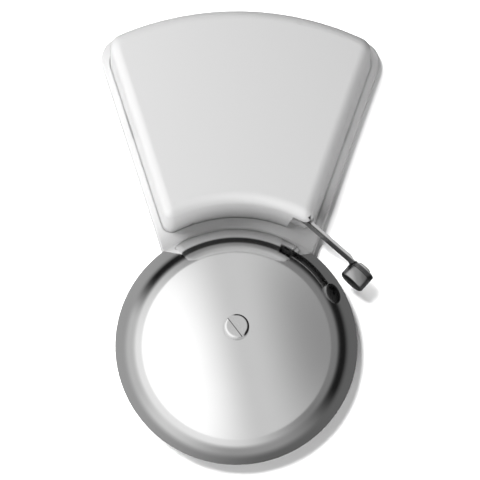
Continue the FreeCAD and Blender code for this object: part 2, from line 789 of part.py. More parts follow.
def cable_grommet():
    """A rubber bush in the cable entry, with a flange on each side of the floor."""
    neck = post("grommet_neck", "entry_left", "entry_up", ("grommet_recess_gap", "floor_thickness"),
                "entry_diameter - 2 * running_gap")
    rear = post("grommet_rear", "entry_left", "entry_up", ("grommet_recess_gap", "entry_recess"),
                "grommet_flange")
    front = post("grommet_front", "entry_left", "entry_up",
                 ("floor_thickness", "floor_thickness + grommet_flange_thickness"), "grommet_flange")
    bore = post("grommet_hole", "entry_left", "entry_up", ("0", "base_depth"), "grommet_bore")
    return cut("cable_grommet", join("grommet_blank", [neck, rear, front]), [bore])


def cover():
    """The moulded case: drafted walls, a rounded front edge, and the arm's notch.

    Beside the notch the foot wall is thinner on its inner side, to clear the arm.
    """
    body = new_body("cover_shell")
    outer = fan("cover_side_inset", "cover_top_inset", "cover_corner_radius", "cover_foot_radius",
                "cover_foot_corner")
    shell = pad(body, outer.draw(body, "cover_outline", "cover_rear"), "cover_front_height - cover_rear",
                taper="cover_draft_angle")
    round_edges(body, shell, edges_at_height(shell.Shape, "cover_front_height"), "cover_front_round")
    inner = fan("hollow_inset", "hollow_top_inset", "cover_corner_radius - cover_wall", "hollow_foot",
                "cover_foot_corner - cover_wall")
    pocket(body, inner.draw(body, "hollow_outline", "cover_rear"), "hollow_front - cover_rear",
           along_normal=True, taper="cover_draft_angle")
    notch_in_wall(body, "side_notch", "notch_top", "base_top_radius / 2")
    notch_in_wall(body, "foot_notch", "notch_foot_top", "notch_foot_right")
    relief = block("notch_relief", ("notch_relief_left", "notch_foot_right"),
                   ("groove_floor", "notch_height + notch_relief_over"),
                   ("notch_top + notch_relief_rise", "notch_foot_top"))
    inside = block("thinning_block", ("thin_wall_left", "notch_foot_right"), ("groove_floor", "hollow_front"),
                   ("cover_foot_radius / 2", "notch_foot_top"))
    skin = post("thinning_skin", "0", "0", ("0", "cover_front_height"), "2 * thin_wall_radius")
    thinning = cut("notch_thinning", inside, [skin])
    return cut("cover", body, [relief, thinning] + rear_nicks())


def notch_in_wall(body, name, top, right):
    """Cut the arm's way out of the walls below a place, with its left side aslant."""
    outline = polygon(body, name, "XY_Plane", top, [
        ("notch_left_rear", "-groove_floor"),
        ("notch_left_front", "-notch_height"),
        (right, "-notch_height"),
        (right, "-groove_floor"),
    ])
    pocket(body, outline, f"{top} - notch_bottom")


def rear_nicks():
    """Cutters for the small nick below and the two prying slots in the cover's rear edge."""
    nick = block("nick", ("-nick_place - nick_width / 2", "nick_width / 2 - nick_place"),
                 ("groove_floor - past", "cover_rear + nick_depth"),
                 ("cover_foot_radius / 2", "cover_foot_radius"))
    heights = ("groove_floor - past", "cover_rear + pry_slot_depth")
    ups = ("pry_slot_middle - pry_slot_length / 2", "pry_slot_middle + pry_slot_length / 2")
    reach = "base_top_radius / 2"
    left = block("pry_slot_left", (f"-{reach}", f"-{reach} / 2"), heights, ups)
    right = block("pry_slot_right", (f"{reach} / 2", reach), heights, ups)
    return [nick, left, right]


# Gong and its fixing

def gong():
    """A pressed dome: a thin spherical cap with a flat seat and a rounded lip."""
    body = new_body("gong")
    inner = "gong_sphere - gong_wall"
    profile = polygon(body, "gong_profile", "XY_Plane", "0", [
        ("gong_hole_diameter / 2", "-gong_seat"),
        ("gong_seat_diameter / 2", "-gong_seat"),
        ("gong_radius", "-gong_rim_height"),
        (f"sqrt(({inner}) ^ 2 - (gong_rim_height - gong_middle) ^ 2)", "-gong_rim_height"),
        (f"sqrt(({inner}) ^ 2 - (gong_under_seat - gong_middle) ^ 2)", "-gong_under_seat"),
        ("gong_hole_diameter / 2", "-gong_under_seat"),
    ], arcs={1: "-gong_middle", 3: "-gong_middle"})
    dome = revolve(body, profile)
    round_edges(body, dome, edges_at_height(dome.Shape, "gong_rim_height"), "gong_rim_round")
    return body


def gong_pillar():
    """A turned pillar with a stud below and a tapped hole above."""
    column = post("pillar_column", "0", "0", ("base_depth", "pillar_top"), "pillar_diameter")
    stud = post("pillar_stud", "0", "0", ("base_depth - stud_length", "base_depth"), "gong_screw_diameter")
    depth = "gong_screw_length - (gong_seat - pillar_top) + pillar_bore_spare"
    bore = post("pillar_bore", "0", "0", (f"pillar_top - ({depth})", "pillar_top + past"),
                "gong_screw_diameter + 2 * running_gap")
    return cut("gong_pillar", join("pillar_blank", [column, stud]), [bore])


def gong_insert():
    """A threaded bush moulded into the base behind the gong."""
    bush = post("insert_bush", "0", "0", ("base_depth - insert_length", "base_depth"), "insert_diameter")
    bore = post("insert_bore", "0", "0", ("base_depth - stud_length - running_gap", "base_depth + past"),
                "gong_screw_diameter + 2 * running_gap")
    return cut("gong_insert", bush, [bore])


def gong_washer():
    """A fibre washer between the pillar and the gong."""
    ring = post("washer_ring", "0", "0", ("pillar_top", "gong_under_seat"), "washer_diameter")
    bore = post("washer_bore", "0", "0", ("pillar_top - past", "gong_under_seat + past"),
                "gong_hole_diameter")
    return cut("gong_washer", ring, [bore])


def gong_screw():
    """A large round-edged screw whose slot lies aslant."""
    head_top = "gong_seat + gong_screw_head_height"
    body = new_body("gong_screw_blank")
    profile = polygon(body, "gong_screw_profile", "XY_Plane", "0", [
        ("0", "gong_screw_length - gong_seat"),
        ("gong_screw_diameter / 2", "gong_screw_length - gong_seat"),
        ("gong_screw_diameter / 2", "-gong_seat"),
        ("gong_screw_head / 2", "-gong_seat"),
        ("gong_screw_head / 2", f"-({head_top})"),
        ("0", f"-({head_top})"),
    ])
    turned = revolve(body, profile)
    round_edges(body, turned, edges_at_height(turned.Shape, head_top), "gong_screw_head_round")
    slot = group("gong_screw_slot", [block(
        "gong_screw_slot_block",
        ("-gong_screw_head", "gong_screw_head"),
        (f"{head_top} - gong_screw_slot_depth", f"{head_top} + gong_screw_slot_depth"),
        ("-gong_screw_slot_width / 2", "gong_screw_slot_width / 2"))])
    turn = FreeCAD.Rotation(FreeCAD.Vector(0, 1, 0), amount("gong_screw_slot_turn"))
    slot.Placement = FreeCAD.Placement(FreeCAD.Vector(), turn)
    bind(slot, {"Placement.Rotation.Angle": "gong_screw_slot_turn"})
    return cut("gong_screw", body, [slot])


# Coil and yoke, in the slanted frame of the mechanism

def chassis_plate():
    """A bent sheet on the bosses: a floor, and an upright that carries the yoke."""
    body = new_body("chassis_sheet")
    outline = polygon(body, "chassis_outline", "XZ_Plane", "boss_top", [
        ("chassis_left", "flange_under"),
        ("chassis_step", "flange_under"),
        ("chassis_step", "chassis_shelf"),
        ("chassis_right", "chassis_shelf"),
        ("chassis_right", "chassis_top"),
        ("chassis_top_corner", "chassis_top"),
        ("chassis_left", "chassis_left_top"),
    ])
    pad(body, outline, "chassis_thickness")
    upright = block("chassis_upright", ("chassis_left", "chassis_step"), ("boss_top", "yoke_front"),
                    ("flange_under", "yoke_under"))
    drilled = "fixing_screw_diameter + 4 * running_gap"
    holes = [post(f"chassis_hole_{i}", x, z, ("0", "chassis_front + past"), drilled)
             for i, (x, z) in enumerate(FIXINGS)]
    holes.append(post("collar_hole", "contact_place", "bracket_screw_up", ("0", "chassis_front + past"),
                      "insulator_collar + 2 * running_gap"))
    holes.append(rod("core_screw_hole", "coil_place", "action_height",
                     ("flange_under - past", "yoke_under + past"),
                     "core_screw_diameter + 2 * running_gap"))
    return in_action(cut("chassis_plate", join("chassis_blank", [body, upright]), holes))


def yoke():
    """A bent iron strip: a foot under the coil, a leg beside it and a tail for the leaf."""
    body = new_body("yoke_strip")
    outline = polygon(body, "yoke_outline", "XZ_Plane", "yoke_rear", [
        ("yoke_foot_end", "yoke_under"),
        ("yoke_foot_end", "coil_foot"),
        ("yoke_leg_inner", "coil_foot"),
        ("yoke_leg_inner", "leaf_near"),
        ("yoke_tail_end", "leaf_near"),
        ("yoke_tail_end", "leaf_near - yoke_thickness"),
        ("yoke_leg_outer", "leaf_near - yoke_thickness"),
        ("yoke_leg_outer", "yoke_under"),
    ])
    strip = pad(body, outline, "yoke_width")
    inner = [(amount("yoke_leg_inner"), amount("coil_foot")),
             (amount("yoke_leg_outer"), amount("leaf_near - yoke_thickness"))]
    bent = round_edges(body, strip, edges_through(strip.Shape, inner), "yoke_bend")
    outer = [(amount("yoke_leg_outer"), amount("yoke_under"))]
    round_edges(body, bent, edges_through(bent.Shape, outer), "yoke_bend + yoke_thickness / 2")
    holes = [rod("yoke_core_hole", "coil_place", "action_height", ("yoke_under - past", "coil_foot + past"),
                 "core_screw_diameter + 2 * running_gap")]
    holes += [rod(f"yoke_clamp_hole_{side}", "clamp_place", f"action_height {side} clamp_screw_spacing / 2",
                  ("coil_foot", "arm_far"), "clamp_screw_diameter + 2 * running_gap") for side in "+-"]
    return in_action(cut("yoke", body, holes))


def coil_core():
    """A soft-iron core whose foot is tapped for the core screw."""
    bar = rod("core_bar", "coil_place", "action_height", ("coil_foot", "pole_face"), "core_diameter")
    bore = rod("core_bore", "coil_place", "action_height",
               ("coil_foot - past", "coil_foot + core_screw_depth"), "core_screw_diameter + 2 * running_gap")
    return in_action(cut("coil_core", bar, [bore]))


def coil_bobbin():
    """A tube with a flange at each end."""
    ends = (("coil_foot", "coil_foot + bobbin_flange"), ("coil_head - bobbin_flange", "coil_head"))
    flanges = [rod(f"bobbin_flange_{i}", "coil_place", "action_height", span, "bobbin_diameter")
               for i, span in enumerate(ends)]
    tube = rod("bobbin_barrel", "coil_place", "action_height", ("coil_foot", "coil_head"), "bobbin_tube")
    bore = rod("bobbin_bore", "coil_place", "action_height", ("coil_foot - past", "coil_head + past"),
               "core_diameter + 2 * running_gap")
    return in_action(cut("coil_bobbin", join("bobbin_blank", [tube] + flanges), [bore]))


def coil_winding():
    """The wound wire between the flanges, as one closed ring."""
    span = ("coil_foot + bobbin_flange + running_gap", "coil_head - bobbin_flange - running_gap")
    wire = rod("winding_outer", "coil_place", "action_height", span, "winding_diameter")
    bore = rod("winding_bore", "coil_place", "action_height", ("coil_foot", "coil_head"),
               "bobbin_tube + 2 * running_gap")
    return in_action(cut("coil_winding", wire, [bore]))


def core_screw():
    """The screw that clamps the core, the yoke's foot and the chassis upright."""
    length = "chassis_thickness + yoke_thickness + core_screw_depth - core_screw_spare"
    item = screw("core_screw_body", length, "core_screw_diameter", "core_screw_head",
                 "core_screw_head_height")
    return in_action(group("core_screw", [stand(item, "coil_place", "action_height", "flange_under", 180)]))


def chassis_screws():
    """Three screws through the chassis into the bosses."""
    items = []
    for index, (x, z) in enumerate(FIXINGS):
        item = screw(f"chassis_screw_{index}", "chassis_front - screw_tip", "fixing_screw_diameter",
                     "fixing_screw_head", "fixing_screw_head_height")
        items.append(stand(item, x, "chassis_front", z))
    return in_action(group("chassis_screws", items))


# Armature, arm and hammer

def strip(name, across, width, ups, holes=()):
    """A flat strip about the mechanism's middle height, with holes along Z."""
    heights = (f"action_height - ({width}) / 2", f"action_height + ({width}) / 2")
    sheet = block(f"{name}_strip" if holes else name, across, heights, ups)
    if not holes:
        return in_action(group(f"{name}_placed", [sheet]))
    drills = [rod(f"{name}_hole_{i}", x, height, (f"({ups[0]}) - past", f"({ups[1]}) + past"), diameter)
              for i, (x, height, diameter) in enumerate(holes)]
    return in_action(cut(name, sheet, drills))


ARM_RIVETS = tuple(
    (place, "action_height", "arm_rivet_diameter + 2 * running_gap")
    for place in ("arm_rivet_first", "arm_rivet_second")
)
CLAMP_HOLES = tuple(
    ("clamp_place", f"action_height {side} clamp_screw_spacing / 2", "clamp_screw_diameter + 2 * running_gap")
    for side in "+-"
)


def armature():
    """The iron bar that the coil pulls."""
    return strip("armature", ("armature_start", "armature_end"), "yoke_width",
                 ("armature_near", "leaf_near"), ARM_RIVETS)


def hinge_leaf():
    """The thin leaf on which the armature swings, clamped to the yoke's tail."""
    return strip("hinge_leaf", ("yoke_tail_end", "armature_end"), "leaf_width",
                 ("leaf_near", "arm_near"), ARM_RIVETS + CLAMP_HOLES)


def leaf_clamp():
    """The plate that holds the leaf on the yoke's tail."""
    return strip("leaf_clamp", ("yoke_tail_end + clamp_margin", "yoke_leg_outer"), "leaf_width",
                 ("arm_near", "clamp_far"), CLAMP_HOLES)


def leaf_clamp_screws():
    """Two screws through the clamp and the leaf into the yoke."""
    items = []
    for index, (x, height, _) in enumerate(CLAMP_HOLES):
        item = screw(f"leaf_clamp_screw_{index}", "clamp_thickness + leaf_thickness + yoke_thickness",
                     "clamp_screw_diameter", "clamp_screw_head", "clamp_screw_head_height")
        items.append(stand(item, x, height, "clamp_far", 0))
    return in_action(group("leaf_clamp_screws", items))


def striker_arm():
    """A flat bar on edge, joggled into the disc that backs the hammer."""
    body = new_body("arm_bar")
    outline = polygon(body, "arm_outline", "XZ_Plane", "arm_rear", [
        ("arm_tail", "arm_near"),
        ("joggle_outer", "arm_near"),
        ("joggle_inner", "disc_near"),
        ("0", "disc_near"),
        ("0", "disc_far"),
        ("joggle_inner", "disc_far"),
        ("joggle_outer", "arm_far"),
        ("arm_tail", "arm_far"),
    ])
    pad(body, outline, "arm_width")
    end = rod("arm_disc", "0", "action_height", ("disc_near", "disc_far"), "hammer_diameter")
    drills = [rod(f"arm_hole_{i}", x, height, ("disc_near", "arm_far + past"), diameter)
              for i, (x, height, diameter) in enumerate(ARM_RIVETS)]
    drills.append(rod("arm_hammer_hole", "0", "action_height", ("disc_near - past", "disc_far + past"),
                      "rivet_diameter + 2 * running_gap"))
    return in_action(cut("striker_arm", join("arm_blank", [body, end]), drills))


def arm_rivets():
    """Two rivets through the armature, the leaf, the arm and the contact spring."""
    items = []
    for index, (x, height, _) in enumerate(ARM_RIVETS):
        item = screw(f"arm_rivet_{index}", "spring_far - armature_near", "arm_rivet_diameter",
                     "arm_rivet_head", "arm_rivet_head_height", slot=False)
        items.append(stand(item, x, height, "spring_far", 0))
    return in_action(group("arm_rivets", items))


def hammer():
    """A turned cylinder with a slightly domed striking face and bevelled edges."""
    body = new_body("hammer_blank")
    radius = "hammer_diameter / 2"
    face = f"({radius} - hammer_bevel)"
    sphere = f"(({face} ^ 2 + hammer_dome ^ 2) / (2 * hammer_dome))"
    profile = polygon(body, "hammer_profile", "XZ_Plane", "action_height", [
        ("0", "0"),
        (face, "hammer_dome"),
        (radius, "hammer_dome + hammer_bevel"),
        (radius, "hammer_length - hammer_bevel / 2"),
        (f"{radius} - hammer_bevel / 2", "hammer_length"),
        ("0", "hammer_length"),
    ], arcs={0: sphere})
    revolve(body, profile)
    bore = rod("hammer_bore", "0", "action_height",
               ("hammer_length - rivet_depth - running_gap", "hammer_length + past"),
               "rivet_diameter + 2 * running_gap")
    return in_action(cut("hammer", body, [bore]))


def hammer_rivet():
    """The rivet that holds the hammer on the arm's disc."""
    item = screw("hammer_rivet_body", "arm_thickness + rivet_depth", "rivet_diameter", "rivet_head",
                 "rivet_head_height", slot=False)
    return in_action(group("hammer_rivet", [stand(item, "0", "action_height", "disc_far", 0)]))


# Make and break contact

def contact_spring():
    """A springy strip on the arm that carries the moving contact."""
    return strip("contact_spring", ("contact_spring_start", "contact_spring_end"), "contact_spring_width",
                 ("arm_far", "spring_far"), ARM_RIVETS)


def contact_tip():
    """The moving contact's button."""
    return in_action(group("contact_tip", [rod(
        "contact_button", "contact_place", "action_height", ("spring_far", "tip_far"),
        "contact_tip_diameter")]))


def contact_screw():
    """The adjusting screw whose point meets the moving contact."""
    item = screw("contact_screw_body", "contact_screw_length", "contact_screw_diameter",
                 "contact_screw_head", "contact_screw_head_height")
    return in_action(group("contact_screw", [stand(
        item, "contact_place", "action_height", "contact_screw_near + contact_screw_length", 0)]))


def contact_lock_nut():
    """A hexagon nut that locks the adjusting screw."""
    body = new_body("lock_nut_blank")
    corner = "lock_nut_width / sqrt(3)"
    flat = "lock_nut_width / 2"
    points = [(corner, "0"), (f"{corner} / 2", flat), (f"-{corner} / 2", flat),
              (f"-{corner}", "0"), (f"-{corner} / 2", f"-{flat}"), (f"{corner} / 2", f"-{flat}")]
    spots = [(f"contact_place + {x}", f"{y} - action_height") for x, y in points]
    pad(body, polygon(body, "lock_nut_outline", "XY_Plane", "bracket_far", spots), "lock_nut_height")
    bore = rod("lock_nut_bore", "contact_place", "action_height", ("bracket_far - past", "nut_far + past"),
               "contact_screw_diameter + 2 * running_gap")
    return in_action(cut("contact_lock_nut", body, [bore]))


def contact_bracket():
    """An angle: a foot on the insulator and an upright tapped for the adjusting screw."""
    across = ("bracket_left", "bracket_right")
    foot = block("bracket_foot", across, ("insulator_front", "bracket_foot_front"),
                 ("bracket_low", "bracket_high"))
    upright = block("bracket_upright", across, ("insulator_front", "bracket_front"),
                    ("bracket_low", "bracket_far"))
    holes = [
        rod("bracket_tapping", "contact_place", "action_height", ("bracket_low - past", "bracket_far + past"),
            "contact_screw_diameter + 2 * running_gap"),
        post("bracket_hole", "contact_place", "bracket_screw_up",
             ("chassis_front", "bracket_foot_front + past"), "fixing_screw_diameter + 2 * running_gap"),
    ]
    return in_action(cut("contact_bracket", join("bracket_blank", [foot, upright]), holes))


def contact_insulator():
    """An insulating block whose collar keeps the bracket's screw off the chassis."""
    slab = block("insulator_slab",
                 ("bracket_left - insulator_margin", "bracket_right + insulator_margin"),
                 ("chassis_front", "insulator_front"),
                 ("bracket_low - insulator_margin", "bracket_high + insulator_margin"))
    collar = post("insulator_neck", "contact_place", "bracket_screw_up", ("boss_top", "chassis_front"),
                  "insulator_collar")
    bore = post("insulator_bore", "contact_place", "bracket_screw_up", ("0", "insulator_front + past"),
                "fixing_screw_diameter + 2 * running_gap")
    return in_action(cut("contact_insulator", join("insulator_blank", [slab, collar]), [bore]))


def bracket_screw():
    """The screw through the bracket and its insulator into the base."""
    item = screw("bracket_screw_body", "bracket_foot_front - screw_tip", "fixing_screw_diameter",
                 "fixing_screw_head", "fixing_screw_head_height")
    return in_action(group("bracket_screw", [stand(
        item, "contact_place", "bracket_foot_front", "bracket_screw_up")]))


# Terminals and leads

SIDES = ("-", "+")


def terminal_block():
    """An insulating block with two chambers open at the top and a screw hole between."""
    slab = block("terminal_slab",
                 ("terminal_place - terminal_length / 2", "terminal_place + terminal_length / 2"),
                 ("terminal_rear", "terminal_front"),
                 ("terminal_up - terminal_width / 2", "terminal_up + terminal_width / 2"))
    tools = []
    for index, side in enumerate(SIDES):
        middle = f"terminal_place {side} terminal_pitch / 2"
        half = "clamp_block_length / 2 + running_gap"
        low = "terminal_up - clamp_block_width / 2 - running_gap"
        tools.append(block(f"terminal_chamber_{index}",
                           (f"{middle} - ({half})", f"{middle} + {half}"),
                           ("clamp_rear - running_gap", "clamp_front + running_gap"),
                           (low, "terminal_up + terminal_width")))
        tools.append(post(f"terminal_access_{index}", middle, "terminal_up",
                          ("clamp_front", "terminal_front + past"), "clamp_screw_head + 4 * running_gap"))
        tools.append(rod(f"terminal_wireway_{index}", middle, "(clamp_rear + clamp_front) / 2",
                         ("terminal_up - terminal_width", "terminal_up"), "clamp_block_bore"))
    tools.append(post("terminal_fixing_hole", "terminal_place", "terminal_up", ("0", "terminal_front + past"),
                      "fixing_screw_diameter + 2 * running_gap"))
    tools.append(post("terminal_fixing_sink", "terminal_place", "terminal_up",
                      ("terminal_front - fixing_screw_head_height", "terminal_front + past"),
                      "fixing_screw_head + 4 * running_gap"))
    return cut("terminal_block", slab, tools)


def terminal_clamps():
    """Two brass blocks, each bored for a wire and tapped for its screw."""
    clamps = []
    for index, side in enumerate(SIDES):
        middle = f"terminal_place {side} terminal_pitch / 2"
        cube = block(f"clamp_cube_{index}",
                     (f"{middle} - clamp_block_length / 2", f"{middle} + clamp_block_length / 2"),
                     ("clamp_rear", "clamp_front"),
                     ("terminal_up - clamp_block_width / 2", "terminal_up + clamp_block_width / 2"))
        bore = rod(f"clamp_bore_{index}", middle, "(clamp_rear + clamp_front) / 2",
                   ("terminal_up - terminal_width", "terminal_up + terminal_width"), "clamp_block_bore")
        tapping = post(f"clamp_tapping_{index}", middle, "terminal_up",
                       ("(clamp_rear + clamp_front) / 2", "clamp_front + past"),
                       "clamp_screw_diameter + 2 * running_gap")
        clamps.append(cut(f"clamp_{index}", cube, [bore, tapping]))
    return group("terminal_clamps", clamps)


def terminal_screws():
    """The two screws that pinch the wires."""
    items = []
    for index, side in enumerate(SIDES):
        reach = "(clamp_block_height - lead_diameter) / 2 - running_gap"
        item = screw(f"terminal_screw_{index}", reach, "clamp_screw_diameter", "clamp_screw_head",
                     "clamp_screw_head_height")
        items.append(stand(item, f"terminal_place {side} terminal_pitch / 2", "clamp_front + running_gap",
                           "terminal_up"))
    return group("terminal_screws", items)


def terminal_fixing_screw():
    """The screw that holds the terminal block on its pad."""
    item = screw("terminal_fixing_body", "terminal_front - fixing_screw_head_height - screw_tip",
                 "fixing_screw_diameter", "fixing_screw_head", "fixing_screw_head_height")
    return group("terminal_fixing_screw", [stand(
        item, "terminal_place", "terminal_front - fixing_screw_head_height", "terminal_up")])


def from_action(across, up, height):
    """A point of the mechanism's frame in the part's frame."""
    turn = math.radians(amount("arm_turn"))
    x, z = amount(across), amount(up)
    return FreeCAD.Vector(amount("hammer_right") + x * math.cos(turn) + z * math.sin(turn),
                          -amount(height),
                          amount("hammer_up") - x * math.sin(turn) + z * math.cos(turn))


def lead(name, points):
    """An insulated lead: straight runs joined by tangent arcs of one radius."""
    edges = []
    start = points[0]
    for corner, after in zip(points[1:], points[2:]):
        entering = (corner - start).normalize()
        leaving = (after - corner).normalize()
        half = entering.getAngle(leaving) / 2
        trim = amount("lead_bend") * math.tan(half)
        first = corner - entering * trim
        last = corner + leaving * trim
        inward = (leaving - entering).normalize()
        middle = corner + inward * (amount("lead_bend") * (1 / math.cos(half) - 1))
        edges.append(Part.LineSegment(start, first).toShape())
        edges.append(Part.Arc(first, middle, last).toShape())
        start = last
    edges.append(Part.LineSegment(start, points[-1]).toShape())
    path = Part.Wire(edges)
    along = (points[1] - points[0]).normalize()
    section = Part.Wire(Part.makeCircle(amount("lead_diameter") / 2, points[0], along))
    item = doc.addObject("Part::Feature", name)
    item.Shape = path.makePipeShell([section], True, False)
    return item


def terminal_points(side):
    """Where a lead lies in a clamp, and where it turns below the block."""
    across = amount(f"terminal_place {side} terminal_pitch / 2")
    out = -amount("(clamp_rear + clamp_front) / 2")
    return [FreeCAD.Vector(across, out, amount("terminal_up")),
            FreeCAD.Vector(across, out, amount("terminal_up - terminal_width / 2 - lead_drop"))]


def coil_lead():
    """The lead from one clamp to the winding, passing behind the armature."""
    out = "(clamp_rear + clamp_front) / 2"
    return lead("coil_lead", terminal_points("-") + [
        from_action("coil_place + coil_lead_side", "coil_lead_turn", out),
        from_action("coil_place + coil_lead_side", "coil_head - 2 * bobbin_flange", out),
    ])


def contact_lead():
    """The lead from the other clamp to the foot of the contact bracket."""
    over = "bracket_foot_front + lead_diameter / 2 + running_gap"
    return lead("contact_lead", terminal_points("+") + [
        from_action("contact_place - contact_lead_side", "bracket_high + contact_lead_turn", over),
        from_action("contact_place - contact_lead_side", "bracket_high - contact_lead_lap", over),
    ])


SUB_PARTS = (
    base_plate, cable_grommet, gong_insert, gong_pillar, gong_washer, gong, gong_screw,
    chassis_plate, chassis_screws, yoke, coil_core, coil_bobbin, coil_winding, core_screw,
    hinge_leaf, leaf_clamp, leaf_clamp_screws, armature, striker_arm, arm_rivets, hammer,
    hammer_rivet, contact_spring, contact_tip, contact_screw, contact_lock_nut,
    contact_bracket, contact_insulator, bracket_screw, terminal_block, terminal_clamps,
    terminal_screws, terminal_fixing_screw, coil_lead, contact_lead, cover,
)


def check(items):
    """Stop if any object failed or any sub-part is not a sound solid."""
    for item in doc.Objects:
        if {"Invalid", "Error"} & set(item.State):
            raise ValueError(f"{item.Label} failed: {item.State}")
    for item in items:
        if item.Shape.isNull() or not item.Shape.isValid() or not item.Shape.Solids:
            raise ValueError(f"{item.Label} is not a sound solid")


def main():
    items = []
    for make in SUB_PARTS:
        item = make()
        item.Label = make.__name__
        items.append(item)
    doc.recompute()
    check(items)
    os.makedirs("parts", exist_ok=True)
    for item in items:
        item.Shape.exportStep(os.path.join("parts", f"{item.Label}.step"))
        print(item.Label, len(item.Shape.Solids), round(item.Shape.Volume, 1))


main()
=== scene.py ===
import json
import math

import bmesh
import bpy
import numpy as np
from mathutils import Matrix, Vector

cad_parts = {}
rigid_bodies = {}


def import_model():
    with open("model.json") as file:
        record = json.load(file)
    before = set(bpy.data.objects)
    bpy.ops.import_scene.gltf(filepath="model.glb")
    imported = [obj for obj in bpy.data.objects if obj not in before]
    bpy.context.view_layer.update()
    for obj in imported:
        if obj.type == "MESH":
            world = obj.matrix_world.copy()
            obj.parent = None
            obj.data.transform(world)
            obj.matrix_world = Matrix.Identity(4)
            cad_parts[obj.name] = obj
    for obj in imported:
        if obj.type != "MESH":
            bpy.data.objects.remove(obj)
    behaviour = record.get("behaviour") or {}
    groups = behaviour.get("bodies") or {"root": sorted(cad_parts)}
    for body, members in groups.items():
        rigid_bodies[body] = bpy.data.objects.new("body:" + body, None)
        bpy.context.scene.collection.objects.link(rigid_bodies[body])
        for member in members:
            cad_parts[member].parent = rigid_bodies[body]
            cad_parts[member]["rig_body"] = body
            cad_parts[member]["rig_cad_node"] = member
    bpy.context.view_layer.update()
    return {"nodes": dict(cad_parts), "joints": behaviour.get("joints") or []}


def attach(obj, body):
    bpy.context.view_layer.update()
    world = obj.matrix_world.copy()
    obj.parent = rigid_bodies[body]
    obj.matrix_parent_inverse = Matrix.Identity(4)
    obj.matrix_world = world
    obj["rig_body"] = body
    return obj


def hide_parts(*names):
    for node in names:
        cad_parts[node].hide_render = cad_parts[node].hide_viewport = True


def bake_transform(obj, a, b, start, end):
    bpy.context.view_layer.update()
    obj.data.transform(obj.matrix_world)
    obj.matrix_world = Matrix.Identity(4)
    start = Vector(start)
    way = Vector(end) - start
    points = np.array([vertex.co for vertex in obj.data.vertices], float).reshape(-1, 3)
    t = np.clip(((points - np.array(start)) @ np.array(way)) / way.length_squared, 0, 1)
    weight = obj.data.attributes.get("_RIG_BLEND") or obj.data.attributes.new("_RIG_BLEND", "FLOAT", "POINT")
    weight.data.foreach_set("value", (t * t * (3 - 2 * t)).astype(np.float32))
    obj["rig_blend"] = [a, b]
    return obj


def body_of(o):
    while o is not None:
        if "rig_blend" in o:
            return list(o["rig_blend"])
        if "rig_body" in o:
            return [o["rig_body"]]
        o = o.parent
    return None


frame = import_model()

# The looks of an electric wall bell: a white moulded case, a polished dome gong below it
# and a hammer on an arm. The wall is the plane Y = 0 and the front looks along -Y.

bl_info = {
    "name": "Wall Bell Looks",
    "version": (1, 0, 0),
    "blender": (4, 5, 0),
    "location": "View3D > Sidebar > Wall Bell",
    "description": "Dresses a wall bell with its finishes and turns its gong, coil and leaf afresh",
    "category": "Object",
}

# The mechanism is turned in the wall's plane. ALONG points down the arm to the hammer, and
# ACROSS points square to it, away from the gong.
TURN = math.radians(41.0)
HAMMER_FACE = Vector((0.046431, 0.0, 0.025105))
ALONG = Vector((math.cos(TURN), 0.0, -math.sin(TURN)))
ACROSS = Vector((math.sin(TURN), 0.0, math.cos(TURN)))

# The screw's slot runs from the upper left to the lower right.
SLOT_TURN = math.radians(52.0)
SLOT_ACROSS = Vector((math.sin(SLOT_TURN), 0.0, math.cos(SLOT_TURN)))
SLOT_HALF_WIDTH = 0.00085

# Each pair is where a change in a finish starts and ends, in metres: the case's painted dark
# reflection, painted shade on the screw, on the arm and under the hammer's collar, the hammer's
# darker face and the wall's painted glow. The heights are from the wall, the radii from the
# gong's axis, and the rest across the slot or across the arm.
PAINTED_REFLECTION_STARTS = (0.0172, 0.0190)
PAINTED_REFLECTION_FADES = (0.0225, 0.0245)
PAINTED_REFLECTION_FRONT_FADES = (0.0250, 0.0285)
SLOT_LINE = (0.00032, 0.00014)
SLOT_LINE_ENDS = (0.0049, 0.0046)
HEAD_SIDE = (0.0040, 0.0044)
HEAD_UPPER_RIGHT = (0.0005, 0.0022)
HEAD_UPPER_PART = (0.0460, 0.0466)
ARM_DARK_SIDE = (0.0078, 0.0073)
HAMMER_DARK_FACE = (0.0009, 0.0003)
COLLAR_PLACE = 0.0058
COLLAR_LINE = (0.0003, 0.0001)
WALL_PAST_NEAR = (0.080, 0.110)
WALL_PAST_RING = (0.135, 0.240)

WELD_REACH = 0.000002
SAME_POINT = 1e-7
BEVEL_FROM = math.radians(50.0)
BEVEL_STEPS = 3
WINDING_DEPTH = 0.0012
STEPS_A_WIRE = 8
GONG_SIDES = 256
COIL_SIDES = 96
LEAF_CUTS = 13


# Settings a user would change

def length(name, description, default):
    return bpy.props.FloatProperty(name=name, description=description, default=default,
                                   min=0.0, unit="LENGTH", precision=4)


def angle(name, description, degrees):
    return bpy.props.FloatProperty(name=name, description=description,
                                   default=math.radians(degrees), unit="ROTATION")


def colour(name, description, default):
    return bpy.props.FloatVectorProperty(name=name, description=description, default=default,
                                         size=4, subtype="COLOR", min=0.0, max=1.0)


def share(name, description, default):
    return bpy.props.FloatProperty(name=name, description=description, default=default,
                                   min=0.0, max=1.0, subtype="FACTOR")


def power(name, description, default):
    return bpy.props.FloatProperty(name=name, description=description, default=default,
                                   min=0.0, unit="POWER")


